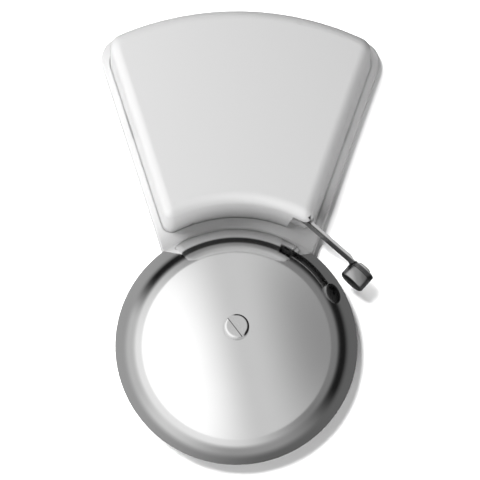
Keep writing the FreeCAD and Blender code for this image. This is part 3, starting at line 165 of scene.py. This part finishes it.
class WallBellSizes(bpy.types.PropertyGroup):
    """Sizes of the pieces that are made afresh."""
    rim_radius: length("Rim radius", "Outside radius of the gong at its rim", 0.050)
    rim_height: length("Rim height", "Distance of the rim from the wall", 0.012)
    dome_rise: length("Dome rise", "Height of the dome above its rim if it had no flat top", 0.033)
    dome_wall: length("Dome wall", "Thickness of the gong", 0.0013)
    seat_radius: length("Seat radius", "Radius of the flat under the screw", 0.0054)
    hole_radius: length("Hole radius", "Radius of the hole for the screw", 0.0033)
    lip_round: length("Lip round", "Rounding of the rim's two edges", 0.00045)
    wire: length("Wire", "Thickness of the coil's wire with its enamel", 0.00042)
    edge: length("Edge", "Broken edge of the screw, the hammer and the arm", 0.00018)
    leaf_flex: length("Leaf flex", "Length of leaf that bends on each side of its line", 0.0012)


class WallBellColours(bpy.types.PropertyGroup):
    """Colours and polish of the surfaces that show."""
    case: colour("Case", "The moulded case and its base", (0.80, 0.80, 0.80, 1.0))
    gong: colour("Gong", "Polished steel of the gong", (0.86, 0.86, 0.86, 1.0))
    gong_roughness: share("Gong roughness", "Softness of reflections in the gong", 0.06)
    screw: colour("Screw", "The gong's screw", (0.80, 0.80, 0.80, 1.0))
    hammer: colour("Hammer", "The hammer and its rivet", (0.40, 0.40, 0.40, 1.0))
    arm: colour("Arm", "The striker arm", (0.78, 0.78, 0.78, 1.0))
    wire: colour("Wire", "Enamel of the coil's wire", (0.46, 0.13, 0.035, 1.0))


class WallBellStage(bpy.types.PropertyGroup):
    """Camera and lights."""
    distance: length("Distance", "Distance of the camera from the gong's rim", 0.9)
    bearing: angle("Bearing", "How far the camera stands below the gong's axis", 12.0)
    pitch: angle("Pitch", "How far the camera looks up", 14.74)
    yaw: angle("Yaw", "How far the camera looks to the right", 0.057)
    roll: angle("Roll", "How far the camera is tipped", 0.8)
    key: power("Key light", "Power of the soft light at the upper left", 1.3)
    fill: power("Fill light", "Power of the soft light from below", 3.4)
    wall_light: power("Wall light", "Power of the light for the wall alone", 26.0)
    ambient: share("Ambient", "Brightness of the room on matt surfaces", 0.25)


# Arithmetic on node sockets

class Field:
    """A socket whose value varies over the surface, for use in plain expressions."""

    def __init__(self, graph, socket):
        self.graph, self.socket = graph, socket

    def _with(self, operation, first, second=None):
        return self.graph.number(operation, first, second)

    def __add__(self, other):
        return self._with("ADD", self, other)

    def __radd__(self, other):
        return self._with("ADD", other, self)

    def __sub__(self, other):
        return self._with("SUBTRACT", self, other)

    def __rsub__(self, other):
        return self._with("SUBTRACT", other, self)

    def __mul__(self, other):
        return self._with("MULTIPLY", self, other)

    def __rmul__(self, other):
        return self._with("MULTIPLY", other, self)

    def __truediv__(self, other):
        return self._with("DIVIDE", self, other)

    def root(self):
        return self._with("SQRT", self)

    def size(self):
        return self._with("ABSOLUTE", self)

    def either(self, other):
        return self._with("MAXIMUM", self, other)


class Graph:
    """A node tree and the few ways in which nodes are added to it."""

    def __init__(self, tree):
        self.tree = tree

    def node(self, kind, settings=None, inputs=None):
        """Add a node, then its settings, then the values or links of its sockets."""
        node = self.tree.nodes.new(kind)
        for name, value in (settings or {}).items():
            setattr(node, name, value)
        for name, value in (inputs or {}).items():
            self.feed(node.inputs[name], value)
        return {socket.name: Field(self, socket) for socket in node.outputs if socket.enabled}

    def feed(self, socket, value):
        if isinstance(value, Field):
            self.tree.links.new(value.socket, socket)
        else:
            socket.default_value = value

    def number(self, operation, first, second=None):
        inputs = {0: first} if second is None else {0: first, 1: second}
        return self.node("ShaderNodeMath", {"operation": operation}, inputs)["Value"]

    def ramp(self, value, low, high):
        """0 up to low, 1 from high on and smooth between; it falls where low is above high."""
        inputs = {"Value": value, "From Min": low, "From Max": high}
        return self.node("ShaderNodeMapRange", {"interpolation_type": "SMOOTHSTEP"}, inputs)["Result"]

    def blend(self, amount, first, second):
        """A colour between two others."""
        inputs = {0: amount, 6: first, 7: second}
        return self.node("ShaderNodeMix", {"data_type": "RGBA"}, inputs)["Result"]

    def axes(self, where):
        found = self.node("ShaderNodeSeparateXYZ", None, {"Vector": where})
        return found["X"], found["Y"], found["Z"]

    def rays(self):
        return self.node("ShaderNodeLightPath")


class Finish(Graph):
    """A procedural material: one surface shader and the nodes that feed it."""

    def __init__(self, name):
        self.material = bpy.data.materials.new(name)
        self.material.use_nodes = True
        super().__init__(self.material.node_tree)
        self.surface = self.tree.nodes["Principled BSDF"]
        self.place = self.node("ShaderNodeTexCoord")["Object"]

    def noise(self, scale, detail=2.0, roughness=0.5, where=None, stretch=None):
        """Noise from 0 to 1 with its features about 1 / scale metres across."""
        vector = where or self.place
        if stretch:
            inputs = {"Vector": vector, "Scale": stretch}
            vector = self.node("ShaderNodeMapping", None, inputs)["Vector"]
        inputs = {"Vector": vector, "Scale": scale, "Detail": detail, "Roughness": roughness}
        return self.node("ShaderNodeTexNoise", None, inputs)["Fac"]

    def bump(self, height, distance, strength):
        """A bump of a real height, in metres."""
        inputs = {"Height": height, "Distance": distance, "Strength": strength}
        self.set(Normal=self.node("ShaderNodeBump", None, inputs)["Normal"])

    def set(self, **values):
        """Set or feed sockets of the surface, named with underscores for spaces."""
        for name, value in values.items():
            self.feed(self.surface.inputs[name.replace("_", " ")], value)
        return self.material


def grey(level, warmth=0.0):
    """A nearly neutral colour, a little warmer or cooler."""
    return (level * (1 + warmth), level, level * (1 - warmth), 1.0)


def darker(tone, factor):
    """The same colour at a share of its brightness."""
    return (tone[0] * factor, tone[1] * factor, tone[2] * factor, 1.0)


# Finishes

def moulded_white(name, tone):
    """Smooth white moulding: faint flow marks, a soft grained skin and a little handling wear.

    For glossy rays the case is painted near black in a band across the middle of its walls,
    a painted dark reflection that the gong mirrors, as in the photograph.
    """
    finish = Finish(name)
    flow = finish.noise(9.0, 3.0)
    speck = finish.noise(420.0, 2.0)
    worn = finish.ramp(finish.noise(55.0, 4.0, 0.6), 0.56, 0.78)
    finish.bump(finish.noise(650.0, 2.0), 0.00002, 0.35)
    height = finish.axes(finish.place)[1] * -1.0
    fade = 0.45 * finish.ramp(height, *PAINTED_REFLECTION_FADES) + 0.20 * finish.ramp(height, *PAINTED_REFLECTION_FRONT_FADES)
    # Painted dark reflection: near black for glossy rays from the band's start, fading toward the front.
    mirrored = finish.rays()["Is Glossy Ray"] * finish.ramp(height, *PAINTED_REFLECTION_STARTS) * (1.0 - fade)
    own = finish.blend(flow, darker(tone, 0.985), tone)
    return finish.set(Base_Color=finish.blend(mirrored, own, darker(tone, 0.02)),
                      Roughness=0.30 + 0.05 * speck + 0.04 * flow + 0.05 * worn, IOR=1.49)


def polished_dome(name, tone, softness):
    """Polished steel: faint rings from the polishing wheel and soft cloudy patches."""
    finish = Finish(name)
    x, _, z = finish.axes(finish.place)
    radius = (x * x + z * z).root()
    outward = finish.node("ShaderNodeCombineXYZ", None, {"X": radius})["Vector"]
    rings = finish.noise(2600.0, 3.0, 0.7, where=outward)
    cloud = finish.noise(38.0, 4.0, 0.6)
    fine = finish.noise(1500.0, 2.0)
    finish.bump(rings + 0.4 * fine, 0.0000012, 0.5)
    return finish.set(Base_Color=finish.blend(cloud, darker(tone, 0.94), tone), Metallic=1.0,
                      Roughness=softness + 0.03 * cloud + 0.03 * rings)


def bright_steel(name, tone, rough, scale=900.0, shade=None):
    """Turned or plated steel with fine marks and slightly worn patches.

    The shade, if there is one, makes from the finish a share from 0 to 1 that is painted near black.
    """
    finish = Finish(name)
    marks = finish.noise(scale, 3.0, 0.65, stretch=(1.0, 6.0, 1.0))
    cloud = finish.noise(160.0, 3.0)
    finish.bump(marks, 0.000004, 0.5)
    metal = finish.blend(cloud, darker(tone, 0.88), tone)
    if shade:
        metal = finish.blend(shade(finish), metal, darker(tone, 0.05))
    return finish.set(Base_Color=metal, Metallic=1.0, Roughness=rough + 0.14 * cloud + 0.06 * marks)


def reach_along(finish, direction, start=(0.0, 0.0, 0.0)):
    """How far the surface lies along a direction in the wall's plane, from a start."""
    x, _, z = finish.axes(finish.place)
    return (x - start[0]) * direction[0] + (z - start[2]) * direction[2]


def screw_painted_shade(finish):
    """Painted shade along one edge of the slot and around the head's upper right side."""
    x, y, z = finish.axes(finish.place)
    across = reach_along(finish, SLOT_ACROSS)
    radius = (x * x + z * z).root()
    line = finish.ramp((across + SLOT_HALF_WIDTH).size(), *SLOT_LINE)
    edge = line * finish.ramp(radius, *SLOT_LINE_ENDS)
    side = (finish.ramp(radius, *HEAD_SIDE) * finish.ramp(across + 0.4 * x, *HEAD_UPPER_RIGHT)
            * finish.ramp(y * -1.0, *HEAD_UPPER_PART))
    return edge.either(side)


def arm_painted_shade(finish):
    """Painted shade on the arm's side toward the gong."""
    across = reach_along(finish, ACROSS, HAMMER_FACE)
    return finish.ramp(across, *ARM_DARK_SIDE) * 0.9


def hammer_shade(finish):
    """The hammer's striking face painted darker, and painted shade in the line under its collar."""
    across = reach_along(finish, ACROSS, HAMMER_FACE)
    face = finish.ramp(across, *HAMMER_DARK_FACE)
    return face.either(finish.ramp((across - COLLAR_PLACE).size(), *COLLAR_LINE)) * 0.92


def coloured_metal(name, dark, light, rough):
    """A yellow or red metal with faint tarnish in clouds."""
    finish = Finish(name)
    cloud = finish.noise(210.0, 4.0, 0.6)
    finish.bump(finish.noise(1200.0, 2.0), 0.000004, 0.5)
    return finish.set(Base_Color=finish.blend(cloud, dark, light), Metallic=1.0,
                      Roughness=rough + 0.12 * cloud)


def dull_solid(name, dark, light, rough, grain=500.0):
    """A matt moulding, fibre or rubber with a fine grain."""
    finish = Finish(name)
    cloud = finish.noise(90.0, 3.0)
    skin = finish.noise(grain, 3.0)
    finish.bump(skin, 0.00003, 0.6)
    return finish.set(Base_Color=finish.blend(cloud, dark, light), Roughness=rough + 0.1 * skin)


def enamelled_wire(name, tone):
    """Enamel over copper: clear and even, with a darker cast in patches."""
    finish = Finish(name)
    cloud = finish.noise(150.0, 2.0)
    return finish.set(Base_Color=finish.blend(cloud, darker(tone, 0.65), tone), Metallic=0.6,
                      Roughness=0.26 + 0.1 * cloud, Coat_Weight=0.4 * cloud)


def dress(names, material):
    """Give CAD nodes a finish on every slot."""
    for name in names:
        mesh = frame["nodes"][name].data
        if not mesh.materials:
            mesh.materials.append(material)
        for index in range(len(mesh.materials)):
            mesh.materials[index] = material


# New pieces

def grid_faces(rows, columns):
    """Quads of a grid of rows and columns whose columns close on themselves."""
    row, column = np.meshgrid(np.arange(rows - 1), np.arange(columns), indexing="ij")
    after = (column + 1) % columns
    quads = np.stack((row * columns + column, (row + 1) * columns + column,
                      (row + 1) * columns + after, row * columns + after), axis=-1)
    return quads.reshape(-1, 4)


def turned(name, profile, sides, foot, axis, side):
    """A closed ring turned about an axis.

    The profile is a closed loop of radius and height, as an array; each is one number or a
    row with a value for each side. A point is the foot, plus the height along the axis, plus
    the radius along the outward direction at that angle. The last ring meets the first.
    """
    foot, axis, side = (np.array(item) for item in (foot, axis, side))
    other = np.cross(axis, side)
    turn = np.linspace(0.0, 2.0 * math.pi, sides, endpoint=False)
    outward = np.cos(turn)[:, None] * side + np.sin(turn)[:, None] * other
    radius, height = profile
    points = foot + height[..., None] * axis + radius[..., None] * outward[None]
    faces = grid_faces(len(points) + 1, sides) % (len(points) * sides)
    return solid(name, points.reshape(-1, 3), faces)


def solid(name, points, faces):
    """A mesh object from arrays, smooth, with its faces turned outward by its signed volume."""
    corners = points[faces]
    first = np.einsum("ij,ij->i", corners[:, 0], np.cross(corners[:, 1], corners[:, 2]))
    second = np.einsum("ij,ij->i", corners[:, 0], np.cross(corners[:, 2], corners[:, 3]))
    if (first + second).sum() < 0.0:
        faces = faces[:, ::-1]
    mesh = bpy.data.meshes.new(name)
    mesh.from_pydata(points.tolist(), [], faces.tolist())
    if mesh.validate():
        raise RuntimeError(f"the faces of {name} are not sound")
    mesh.shade_smooth()
    item = bpy.data.objects.new(name, mesh)
    bpy.context.scene.collection.objects.link(item)
    return item


def arc(centre, radius, start, end, count):
    """Points of radius and height on an arc, from one angle to another in radians."""
    turn = np.linspace(start, end, count)
    return np.stack((centre[0] + radius * np.cos(turn), centre[1] + radius * np.sin(turn)))


def straight(start, end, count):
    """Points of radius and height on a line, from start up to but without its end."""
    part = np.linspace(0.0, 1.0, count, endpoint=False)
    return np.stack([(1 - part) * first + part * last for first, last in zip(start, end)])


def gong_profile(sizes):
    """The gong's section as a closed loop: hole, seat, dome, rounded lip, and back up inside."""
    outer = (sizes.rim_radius ** 2 + sizes.dome_rise ** 2) / (2 * sizes.dome_rise)
    inner = outer - sizes.dome_wall
    centre = (0.0, sizes.rim_height + sizes.dome_rise - outer)
    lip = sizes.lip_round
    level = sizes.rim_height + lip - centre[1]
    seat = math.acos(sizes.seat_radius / outer)
    top = centre[1] + outer * math.sin(seat)
    below = top - sizes.dome_wall
    seat_inside = math.asin((below - centre[1]) / inner)
    outer_rim = math.asin(level / (outer - lip))
    inner_rim = math.asin(level / (inner + lip))
    outer_lip = ((outer - lip) * math.cos(outer_rim), centre[1] + level)
    inner_lip = ((inner + lip) * math.cos(inner_rim), centre[1] + level)
    hole = sizes.hole_radius
    parts = (
        straight((hole, below), (hole, top), 4),
        straight((hole, top), (sizes.seat_radius, top), 8),
        arc(centre, outer, seat, outer_rim, 128),
        arc(outer_lip, lip, outer_rim, -math.pi / 2, 8),
        arc(inner_lip, lip, -math.pi / 2, -math.pi + inner_rim, 8),
        arc(centre, inner, inner_rim, seat_inside, 96),
        straight((inner * math.cos(seat_inside), below), (hole, below), 8)[:, 1:],
    )
    loop = np.concatenate(parts, axis=1)
    step = np.linalg.norm(loop - np.roll(loop, -1, axis=1), axis=0)
    return loop[:, step > SAME_POINT]


def spread(node, direction):
    """How far a CAD node reaches along a direction, lowest and highest, in metres."""
    mesh = frame["nodes"][node].data
    points = np.empty(len(mesh.vertices) * 3, np.float32)
    mesh.vertices.foreach_get("co", points)
    along = points.reshape(-1, 3) @ np.array(direction)
    return float(along.min()), float(along.max())


def carry(item, node):
    """Let a piece ride on its CAD node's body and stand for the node."""
    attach(item, body_of(frame["nodes"][node])[0])
    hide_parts(node)


def copied(node, name):
    """A copy of a CAD node's mesh whose doubled vertices are merged, with no parent."""
    item = frame["nodes"][node].copy()
    item.data = item.data.copy()
    item.name = item.data.name = name
    item.parent = None
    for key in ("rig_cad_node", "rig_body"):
        del item[key]
    bpy.context.scene.collection.objects.link(item)
    merge = item.modifiers.new("merge", "WELD")
    merge.merge_threshold = WELD_REACH
    bpy.context.view_layer.update()
    graph = bpy.context.evaluated_depsgraph_get()
    mesh = bpy.data.meshes.new_from_object(item.evaluated_get(graph))
    item.modifiers.clear()
    item.data = mesh
    return item


def cut_across(item, points, direction):
    """Add edges across a mesh at each point, square to a direction."""
    work = bmesh.new()
    work.from_mesh(item.data)
    for point in points:
        geometry = work.verts[:] + work.edges[:] + work.faces[:]
        bmesh.ops.bisect_plane(work, geom=geometry, plane_co=point, plane_no=direction)
    work.to_mesh(item.data)
    work.free()


class WALLBELL_OT_gong(bpy.types.Operator):
    """Turn the gong as one smooth shell with a rounded lip"""
    bl_idname = "wallbell.gong"
    bl_label = "Gong"

    def execute(self, context):
        """Turn the section about the gong's axis and dress it in polished steel."""
        settings = context.scene.wall_bell_sizes
        colours = context.scene.wall_bell_colours
        radius, height = gong_profile(settings)
        item = turned("gong_shell", (radius[:, None], height[:, None]), GONG_SIDES,
                      (0, 0, 0), (0, -1, 0), (1, 0, 0))
        item.data.materials.append(polished_dome("gong_steel", colours.gong, colours.gong_roughness))
        carry(item, "gong")
        return {"FINISHED"}


class WALLBELL_OT_winding(bpy.types.Operator):
    """Wind the coil turn by turn in place of the plain cylinder"""
    bl_idname = "wallbell.winding"
    bl_label = "Winding"

    def execute(self, context):
        """Lay ridges around the coil.

        The radius is the outside less half a wire, plus half a wire times the size of the
        cosine of half the phase. The phase grows by a turn for each wire along the axis and
        by one more turn around the coil, so the ridges run as one helix.
        """
        wire = context.scene.wall_bell_sizes.wire
        low, high = spread("coil_winding", ACROSS)
        start, end = spread("coil_winding", ALONG)
        under, over = spread("coil_winding", (0, -1, 0))
        outside = (end - start) / 2
        inside = outside - WINDING_DEPTH
        across = round((high - low) / wire) * STEPS_A_WIRE
        height = np.linspace(low, high, across + 1)
        turn = np.linspace(0.0, 1.0, COIL_SIDES, endpoint=False)
        phase = (height[:, None] - low) / wire + turn[None]
        ridges = outside - wire / 2 + wire / 2 * np.abs(np.cos(math.pi * phase))
        radius = np.concatenate((ridges, np.full((2, len(turn)), inside)))
        height = np.concatenate((height, (high, low)))[:, None] * np.ones(len(turn))
        foot = ALONG * (start + end) / 2 - Vector((0, (under + over) / 2, 0))
        item = turned("coil_turns", (radius, height), len(turn), foot, ACROSS, ALONG)
        item.data.materials.append(enamelled_wire("wire_enamel", context.scene.wall_bell_colours.wire))
        carry(item, "coil_winding")
        return {"FINISHED"}


class WALLBELL_OT_leaf(bpy.types.Operator):
    """Let the hinge leaf bend between the yoke and the armature"""
    bl_idname = "wallbell.leaf"
    bl_label = "Hinge leaf"

    def execute(self, context):
        """Cut the leaf across beside its line and blend it between the two bodies."""
        flex = context.scene.wall_bell_sizes.leaf_flex
        joints = {joint["name"]: joint for joint in frame["joints"]}
        hinge = Vector(joints["striker_swing"]["pos_m"])
        item = copied("hinge_leaf", "leaf")
        steps = np.linspace(-flex, flex, LEAF_CUTS)
        cut_across(item, [hinge + ALONG * float(step) for step in steps], ALONG)
        item.data.materials.clear()
        item.data.materials.append(bright_steel("leaf_steel", grey(0.50), 0.2))
        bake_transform(item, "base", "striker", hinge - ALONG * flex, hinge + ALONG * flex)
        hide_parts("hinge_leaf")
        return {"FINISHED"}


class WALLBELL_OT_bright_parts(bpy.types.Operator):
    """Break the edges of the screw, the hammer and the arm so that they catch the light"""
    bl_idname = "wallbell.bright_parts"
    bl_label = "Screw, hammer and arm"

    def execute(self, context):
        """Copy each piece, bevel its sharp edges inward and dress it."""
        colours = context.scene.wall_bell_colours
        edge = context.scene.wall_bell_sizes.edge
        screw = bright_steel("screw_steel", colours.screw, 0.12, shade=screw_painted_shade)
        hammer = bright_steel("hammer_steel", colours.hammer, 0.14, 700.0, hammer_shade)
        arm = bright_steel("arm_steel", colours.arm, 0.08, shade=arm_painted_shade)
        parts = (
            ("gong_screw", "screw", "polished_steel", screw),
            ("hammer", "hammer_head", "hammer_steel", hammer),
            ("striker_arm", "arm", "plated_steel", arm),
        )
        for node, name, slot, material in parts:
            item = copied(node, name)
            item.data.materials.clear()
            item.data.materials.append(material)
            bevel = item.modifiers.new("broken_edge", "BEVEL")
            bevel.width = edge
            bevel.segments = BEVEL_STEPS
            bevel.limit_method = "ANGLE"
            bevel.angle_limit = BEVEL_FROM
            bevel.harden_normals = True
            carry(item, node)
        return {"FINISHED"}


class WALLBELL_OT_finishes(bpy.types.Operator):
    """Give every CAD node its finish"""
    bl_idname = "wallbell.finishes"
    bl_label = "Finishes"

    def execute(self, context):
        """Dress the CAD nodes, group by group."""
        colours = context.scene.wall_bell_colours
        case = moulded_white("case_plastic", colours.case)
        hammer = bright_steel("rivet_steel", colours.hammer, 0.18, 700.0)
        plated = bright_steel("plated_steel", grey(0.62), 0.26)
        soft_iron = bright_steel("soft_iron", grey(0.38), 0.34)
        brass = coloured_metal("brass", (0.55, 0.38, 0.12, 1), (0.70, 0.52, 0.22, 1), 0.2)
        phenolic = dull_solid("phenolic", grey(0.018), grey(0.034), 0.38)
        fibre = dull_solid("fibre", (0.20, 0.05, 0.03, 1), (0.30, 0.09, 0.05, 1), 0.6, 900.0)
        sleeve = dull_solid("sleeve", grey(0.03), grey(0.06), 0.45)
        dress(("cover", "base_plate"), case)
        dress(("gong", "gong_screw", "hinge_leaf", "striker_arm"), plated)
        dress(("hammer", "hammer_rivet"), hammer)
        dress(("gong_pillar", "chassis_plate", "chassis_screws", "yoke", "core_screw", "leaf_clamp",
               "leaf_clamp_screws", "bracket_screw", "terminal_screws", "terminal_fixing_screw"), plated)
        dress(("coil_core", "armature"), soft_iron)
        dress(("contact_tip",), bright_steel("silver", grey(0.82), 0.15))
        dress(("gong_insert", "arm_rivets", "contact_screw", "contact_lock_nut", "contact_bracket",
               "terminal_clamps"), brass)
        dress(("contact_spring",),
              coloured_metal("bronze", (0.48, 0.26, 0.11, 1), (0.60, 0.35, 0.17, 1), 0.22))
        dress(("coil_winding",), enamelled_wire("winding_enamel", colours.wire))
        dress(("coil_bobbin", "terminal_block"), phenolic)
        dress(("gong_washer", "contact_insulator"), fibre)
        dress(("cable_grommet",), dull_solid("rubber", grey(0.015), grey(0.03), 0.62))
        dress(("coil_lead", "contact_lead"), sleeve)
        return {"FINISHED"}


# Stage

RIM_PIXELS_PER_MM = 2.432
FRAME_PIXELS = 480
SENSOR_MM = 36.0
RIM_CENTRE = (0.0, -0.012, 0.0)
WALL_REACH = 2.0
WALL_BEHIND = 0.0006
SHORT_RAY = 0.004
LIT_POINT = (0.0, -0.02, 0.04)
LIT_WALL_POINT = (0.0, 0.0, 0.03)
KEY_PLACE, KEY_SIZE = (-0.32, -0.36, 0.18), 0.24
FILL_PLACE, FILL_SIZE = (-0.05, -0.50, -0.60), 0.40
WALL_LIGHT_PLACE, WALL_LIGHT_SIZE = (-0.30, -1.30, 0.17), 0.26

# What metal mirrors, the wall's painted glow and the room's light: the darkest level first,
# then what its brighter sides add to it.
WALL_NEAR_GLOW = (0.13, 0.24)
WALL_RING_GLOW = (0.012, 0.55, 0.32)
WALL_FAR_GLOW = (0.22, 0.70)
ROOM_GLOW = (0.30, 0.36, 0.62)


def make_camera(stage):
    """Place the camera below the bell's middle, looking up at it, a little rolled."""
    away = Vector((0.0, math.cos(stage.bearing), math.sin(stage.bearing)))
    place = Vector(RIM_CENTRE) - stage.distance * away
    forward = Vector((math.sin(stage.yaw) * math.cos(stage.pitch),
                      math.cos(stage.yaw) * math.cos(stage.pitch), math.sin(stage.pitch)))
    right = forward.cross(Vector((0, 0, 1))).normalized()
    up = right.cross(forward)
    tipped_right = right * math.cos(stage.roll) + up * math.sin(stage.roll)
    tipped_up = up * math.cos(stage.roll) - right * math.sin(stage.roll)
    data = bpy.data.cameras.new("camera")
    data.sensor_width = SENSOR_MM
    data.lens = RIM_PIXELS_PER_MM * stage.distance * 1000 / FRAME_PIXELS * SENSOR_MM
    data.clip_start = 0.05
    data.clip_end = 20.0
    camera = bpy.data.objects.new("camera", data)
    turn = Matrix((tipped_right, tipped_up, -forward)).transposed().to_4x4()
    camera.matrix_world = Matrix.Translation(place) @ turn
    bpy.context.scene.collection.objects.link(camera)
    bpy.context.scene.camera = camera


def soft_light(name, place, aim, size, power):
    """A square area light that looks at a point and isn't mirrored in the metal."""
    data = bpy.data.lights.new(name, "AREA")
    data.size = size
    data.energy = power
    lamp = bpy.data.objects.new(name, data)
    lamp.location = place
    lamp.rotation_euler = (Vector(aim) - Vector(place)).to_track_quat("-Z", "Y").to_euler()
    lamp.visible_glossy = False
    lamp.visible_camera = False
    bpy.context.scene.collection.objects.link(lamp)
    return lamp


def wall_finish():
    """White paper with its shadow, which throws little light back onto the bell's sides.

    For metal it is a painted glow, bright to the left and dark to the right, in place of its own
    colour. Seen from behind it isn't there, and it doesn't darken the back of the base that lies
    on it.
    """
    finish = Finish("wall_paper")
    rays = finish.rays()
    mirrored = rays["Is Glossy Ray"].either(rays["Is Transmission Ray"])
    x, _, z = finish.axes(finish.place)
    radius = (x * x + z * z).root() + 0.0001
    left, down = x * -1.0 / radius, z * -1.0 / radius
    # Painted reflection: for metal the wall has no colour and glows with these painted levels, bright to the
    # left and dark to the right.
    dark, more = WALL_NEAR_GLOW
    near = finish.ramp(left * 0.9, -0.3, 0.8) * more + dark
    dark, at_left, below = WALL_RING_GLOW
    ring = (dark + at_left * finish.ramp(left, 0.0, 0.9) * finish.ramp(down, -0.7, -0.3)
            + below * finish.ramp(down, 0.3, 1.0))
    dark, more = WALL_FAR_GLOW
    far = finish.ramp(left * 0.85 + down * 0.50, -0.45, 0.85) * more + dark
    past_near = finish.ramp(radius, *WALL_PAST_NEAR)
    past_ring = finish.ramp(radius, *WALL_PAST_RING)
    inside = near * (1.0 - past_near) + ring * past_near
    glow = inside * (1.0 - past_ring) + far * past_ring
    speck = finish.noise(60.0, 2.0) * 0.01
    paper = finish.blend(rays["Is Diffuse Ray"], grey(0.88), grey(0.45))
    finish.set(Base_Color=finish.blend(mirrored, paper, grey(0.0)), Roughness=0.9 - speck,
               Specular_IOR_Level=0.0, Emission_Strength=1.0,
               Emission_Color=finish.blend(mirrored, grey(0.0), finish.blend(glow, grey(0.0), grey(1.0))))
    under_base = finish.number("LESS_THAN", rays["Ray Length"], SHORT_RAY)
    behind = finish.node("ShaderNodeNewGeometry")["Backfacing"].either(under_base)
    clear = finish.node("ShaderNodeBsdfTransparent")["BSDF"]
    shown = Field(finish, finish.surface.outputs["BSDF"])
    mixed = finish.node("ShaderNodeMixShader", None, {0: behind, 1: shown, 2: clear})["Shader"]
    finish.feed(finish.tree.nodes["Material Output"].inputs["Surface"], mixed)
    return finish.material


def make_world(ambient):
    """White for the camera, and for metal a gradient that matt surfaces see dimmed."""
    world = bpy.data.worlds.new("studio")
    world.use_nodes = True
    graph = Graph(world.node_tree)
    direction = graph.node("ShaderNodeTexCoord")["Generated"]
    x, _, z = graph.axes(direction)
    toward_light = x * -0.97 + z * -0.24
    dark, dim_more, bright_more = ROOM_GLOW
    dim_side = graph.ramp(toward_light, -1.1, -0.2)
    bright_side = graph.ramp(toward_light, -0.1, 0.75)
    mirrored = dark + dim_more * dim_side + bright_more * bright_side
    rays = graph.rays()
    seen = rays["Is Camera Ray"]
    matt = rays["Is Diffuse Ray"]
    strength = seen + (1.0 - seen) * (matt * ambient + (1.0 - matt)) * mirrored
    background = world.node_tree.nodes["Background"]
    background.inputs["Color"].default_value = grey(1.0)
    graph.feed(background.inputs["Strength"], strength)
    bpy.context.scene.world = world


class WALLBELL_OT_stage(bpy.types.Operator):
    """Make the wall, the soft lights, the world and the camera"""
    bl_idname = "wallbell.stage"
    bl_label = "Stage"

    def execute(self, context):
        """Set the stage around the bell."""
        stage = context.scene.wall_bell_stage
        make_camera(stage)
        make_world(stage.ambient)
        reach, y = WALL_REACH, WALL_BEHIND
        corners = [(-reach, y, -reach), (reach, y, -reach), (reach, y, reach), (-reach, y, reach)]
        mesh = bpy.data.meshes.new("wall")
        mesh.from_pydata(corners, [], [(0, 1, 2, 3)])
        mesh.materials.append(wall_finish())
        wall = bpy.data.objects.new("wall", mesh)
        context.scene.collection.objects.link(wall)
        soft_light("key_light", KEY_PLACE, LIT_POINT, KEY_SIZE, stage.key)
        soft_light("low_light", FILL_PLACE, LIT_POINT, FILL_SIZE, stage.fill)
        lamp = soft_light("wall_light", WALL_LIGHT_PLACE, LIT_WALL_POINT, WALL_LIGHT_SIZE, stage.wall_light)
        lit = bpy.data.collections.new("lit_by_the_wall_light")
        lit.objects.link(wall)
        lamp.light_linking.receiver_collection = lit
        context.scene.view_settings.view_transform = "Standard"
        return {"FINISHED"}


class WALLBELL_PT_panel(bpy.types.Panel):
    """Settings and buttons of the wall bell"""
    bl_idname = "WALLBELL_PT_panel"
    bl_label = "Wall Bell"
    bl_space_type = "VIEW_3D"
    bl_region_type = "UI"
    bl_category = "Wall Bell"

    def draw(self, context):
        """List each group of settings, then the operators in their order."""
        for title, settings in (("Sizes", context.scene.wall_bell_sizes),
                                ("Colours", context.scene.wall_bell_colours),
                                ("Stage", context.scene.wall_bell_stage)):
            box = self.layout.box()
            box.label(text=title)
            for name in settings.bl_rna.properties.keys():
                if name not in ("rna_type", "name"):
                    box.prop(settings, name)
        for item in OPERATORS:
            self.layout.operator(item.bl_idname)


OPERATORS = (
    WALLBELL_OT_stage,
    WALLBELL_OT_finishes,
    WALLBELL_OT_gong,
    WALLBELL_OT_winding,
    WALLBELL_OT_leaf,
    WALLBELL_OT_bright_parts,
)
SETTINGS = (
    ("wall_bell_sizes", WallBellSizes),
    ("wall_bell_colours", WallBellColours),
    ("wall_bell_stage", WallBellStage),
)


def register():
    for name, group in SETTINGS:
        bpy.utils.register_class(group)
        setattr(bpy.types.Scene, name, bpy.props.PointerProperty(type=group))
    for item in OPERATORS + (WALLBELL_PT_panel,):
        bpy.utils.register_class(item)


def unregister():
    for item in (WALLBELL_PT_panel,) + OPERATORS[::-1]:
        bpy.utils.unregister_class(item)
    for name, group in SETTINGS[::-1]:
        delattr(bpy.types.Scene, name)
        bpy.utils.unregister_class(group)


def main():
    register()
    bpy.ops.wallbell.stage()
    bpy.ops.wallbell.finishes()
    bpy.ops.wallbell.gong()
    bpy.ops.wallbell.winding()
    bpy.ops.wallbell.leaf()
    bpy.ops.wallbell.bright_parts()


if __name__ == "__main__":
    main()
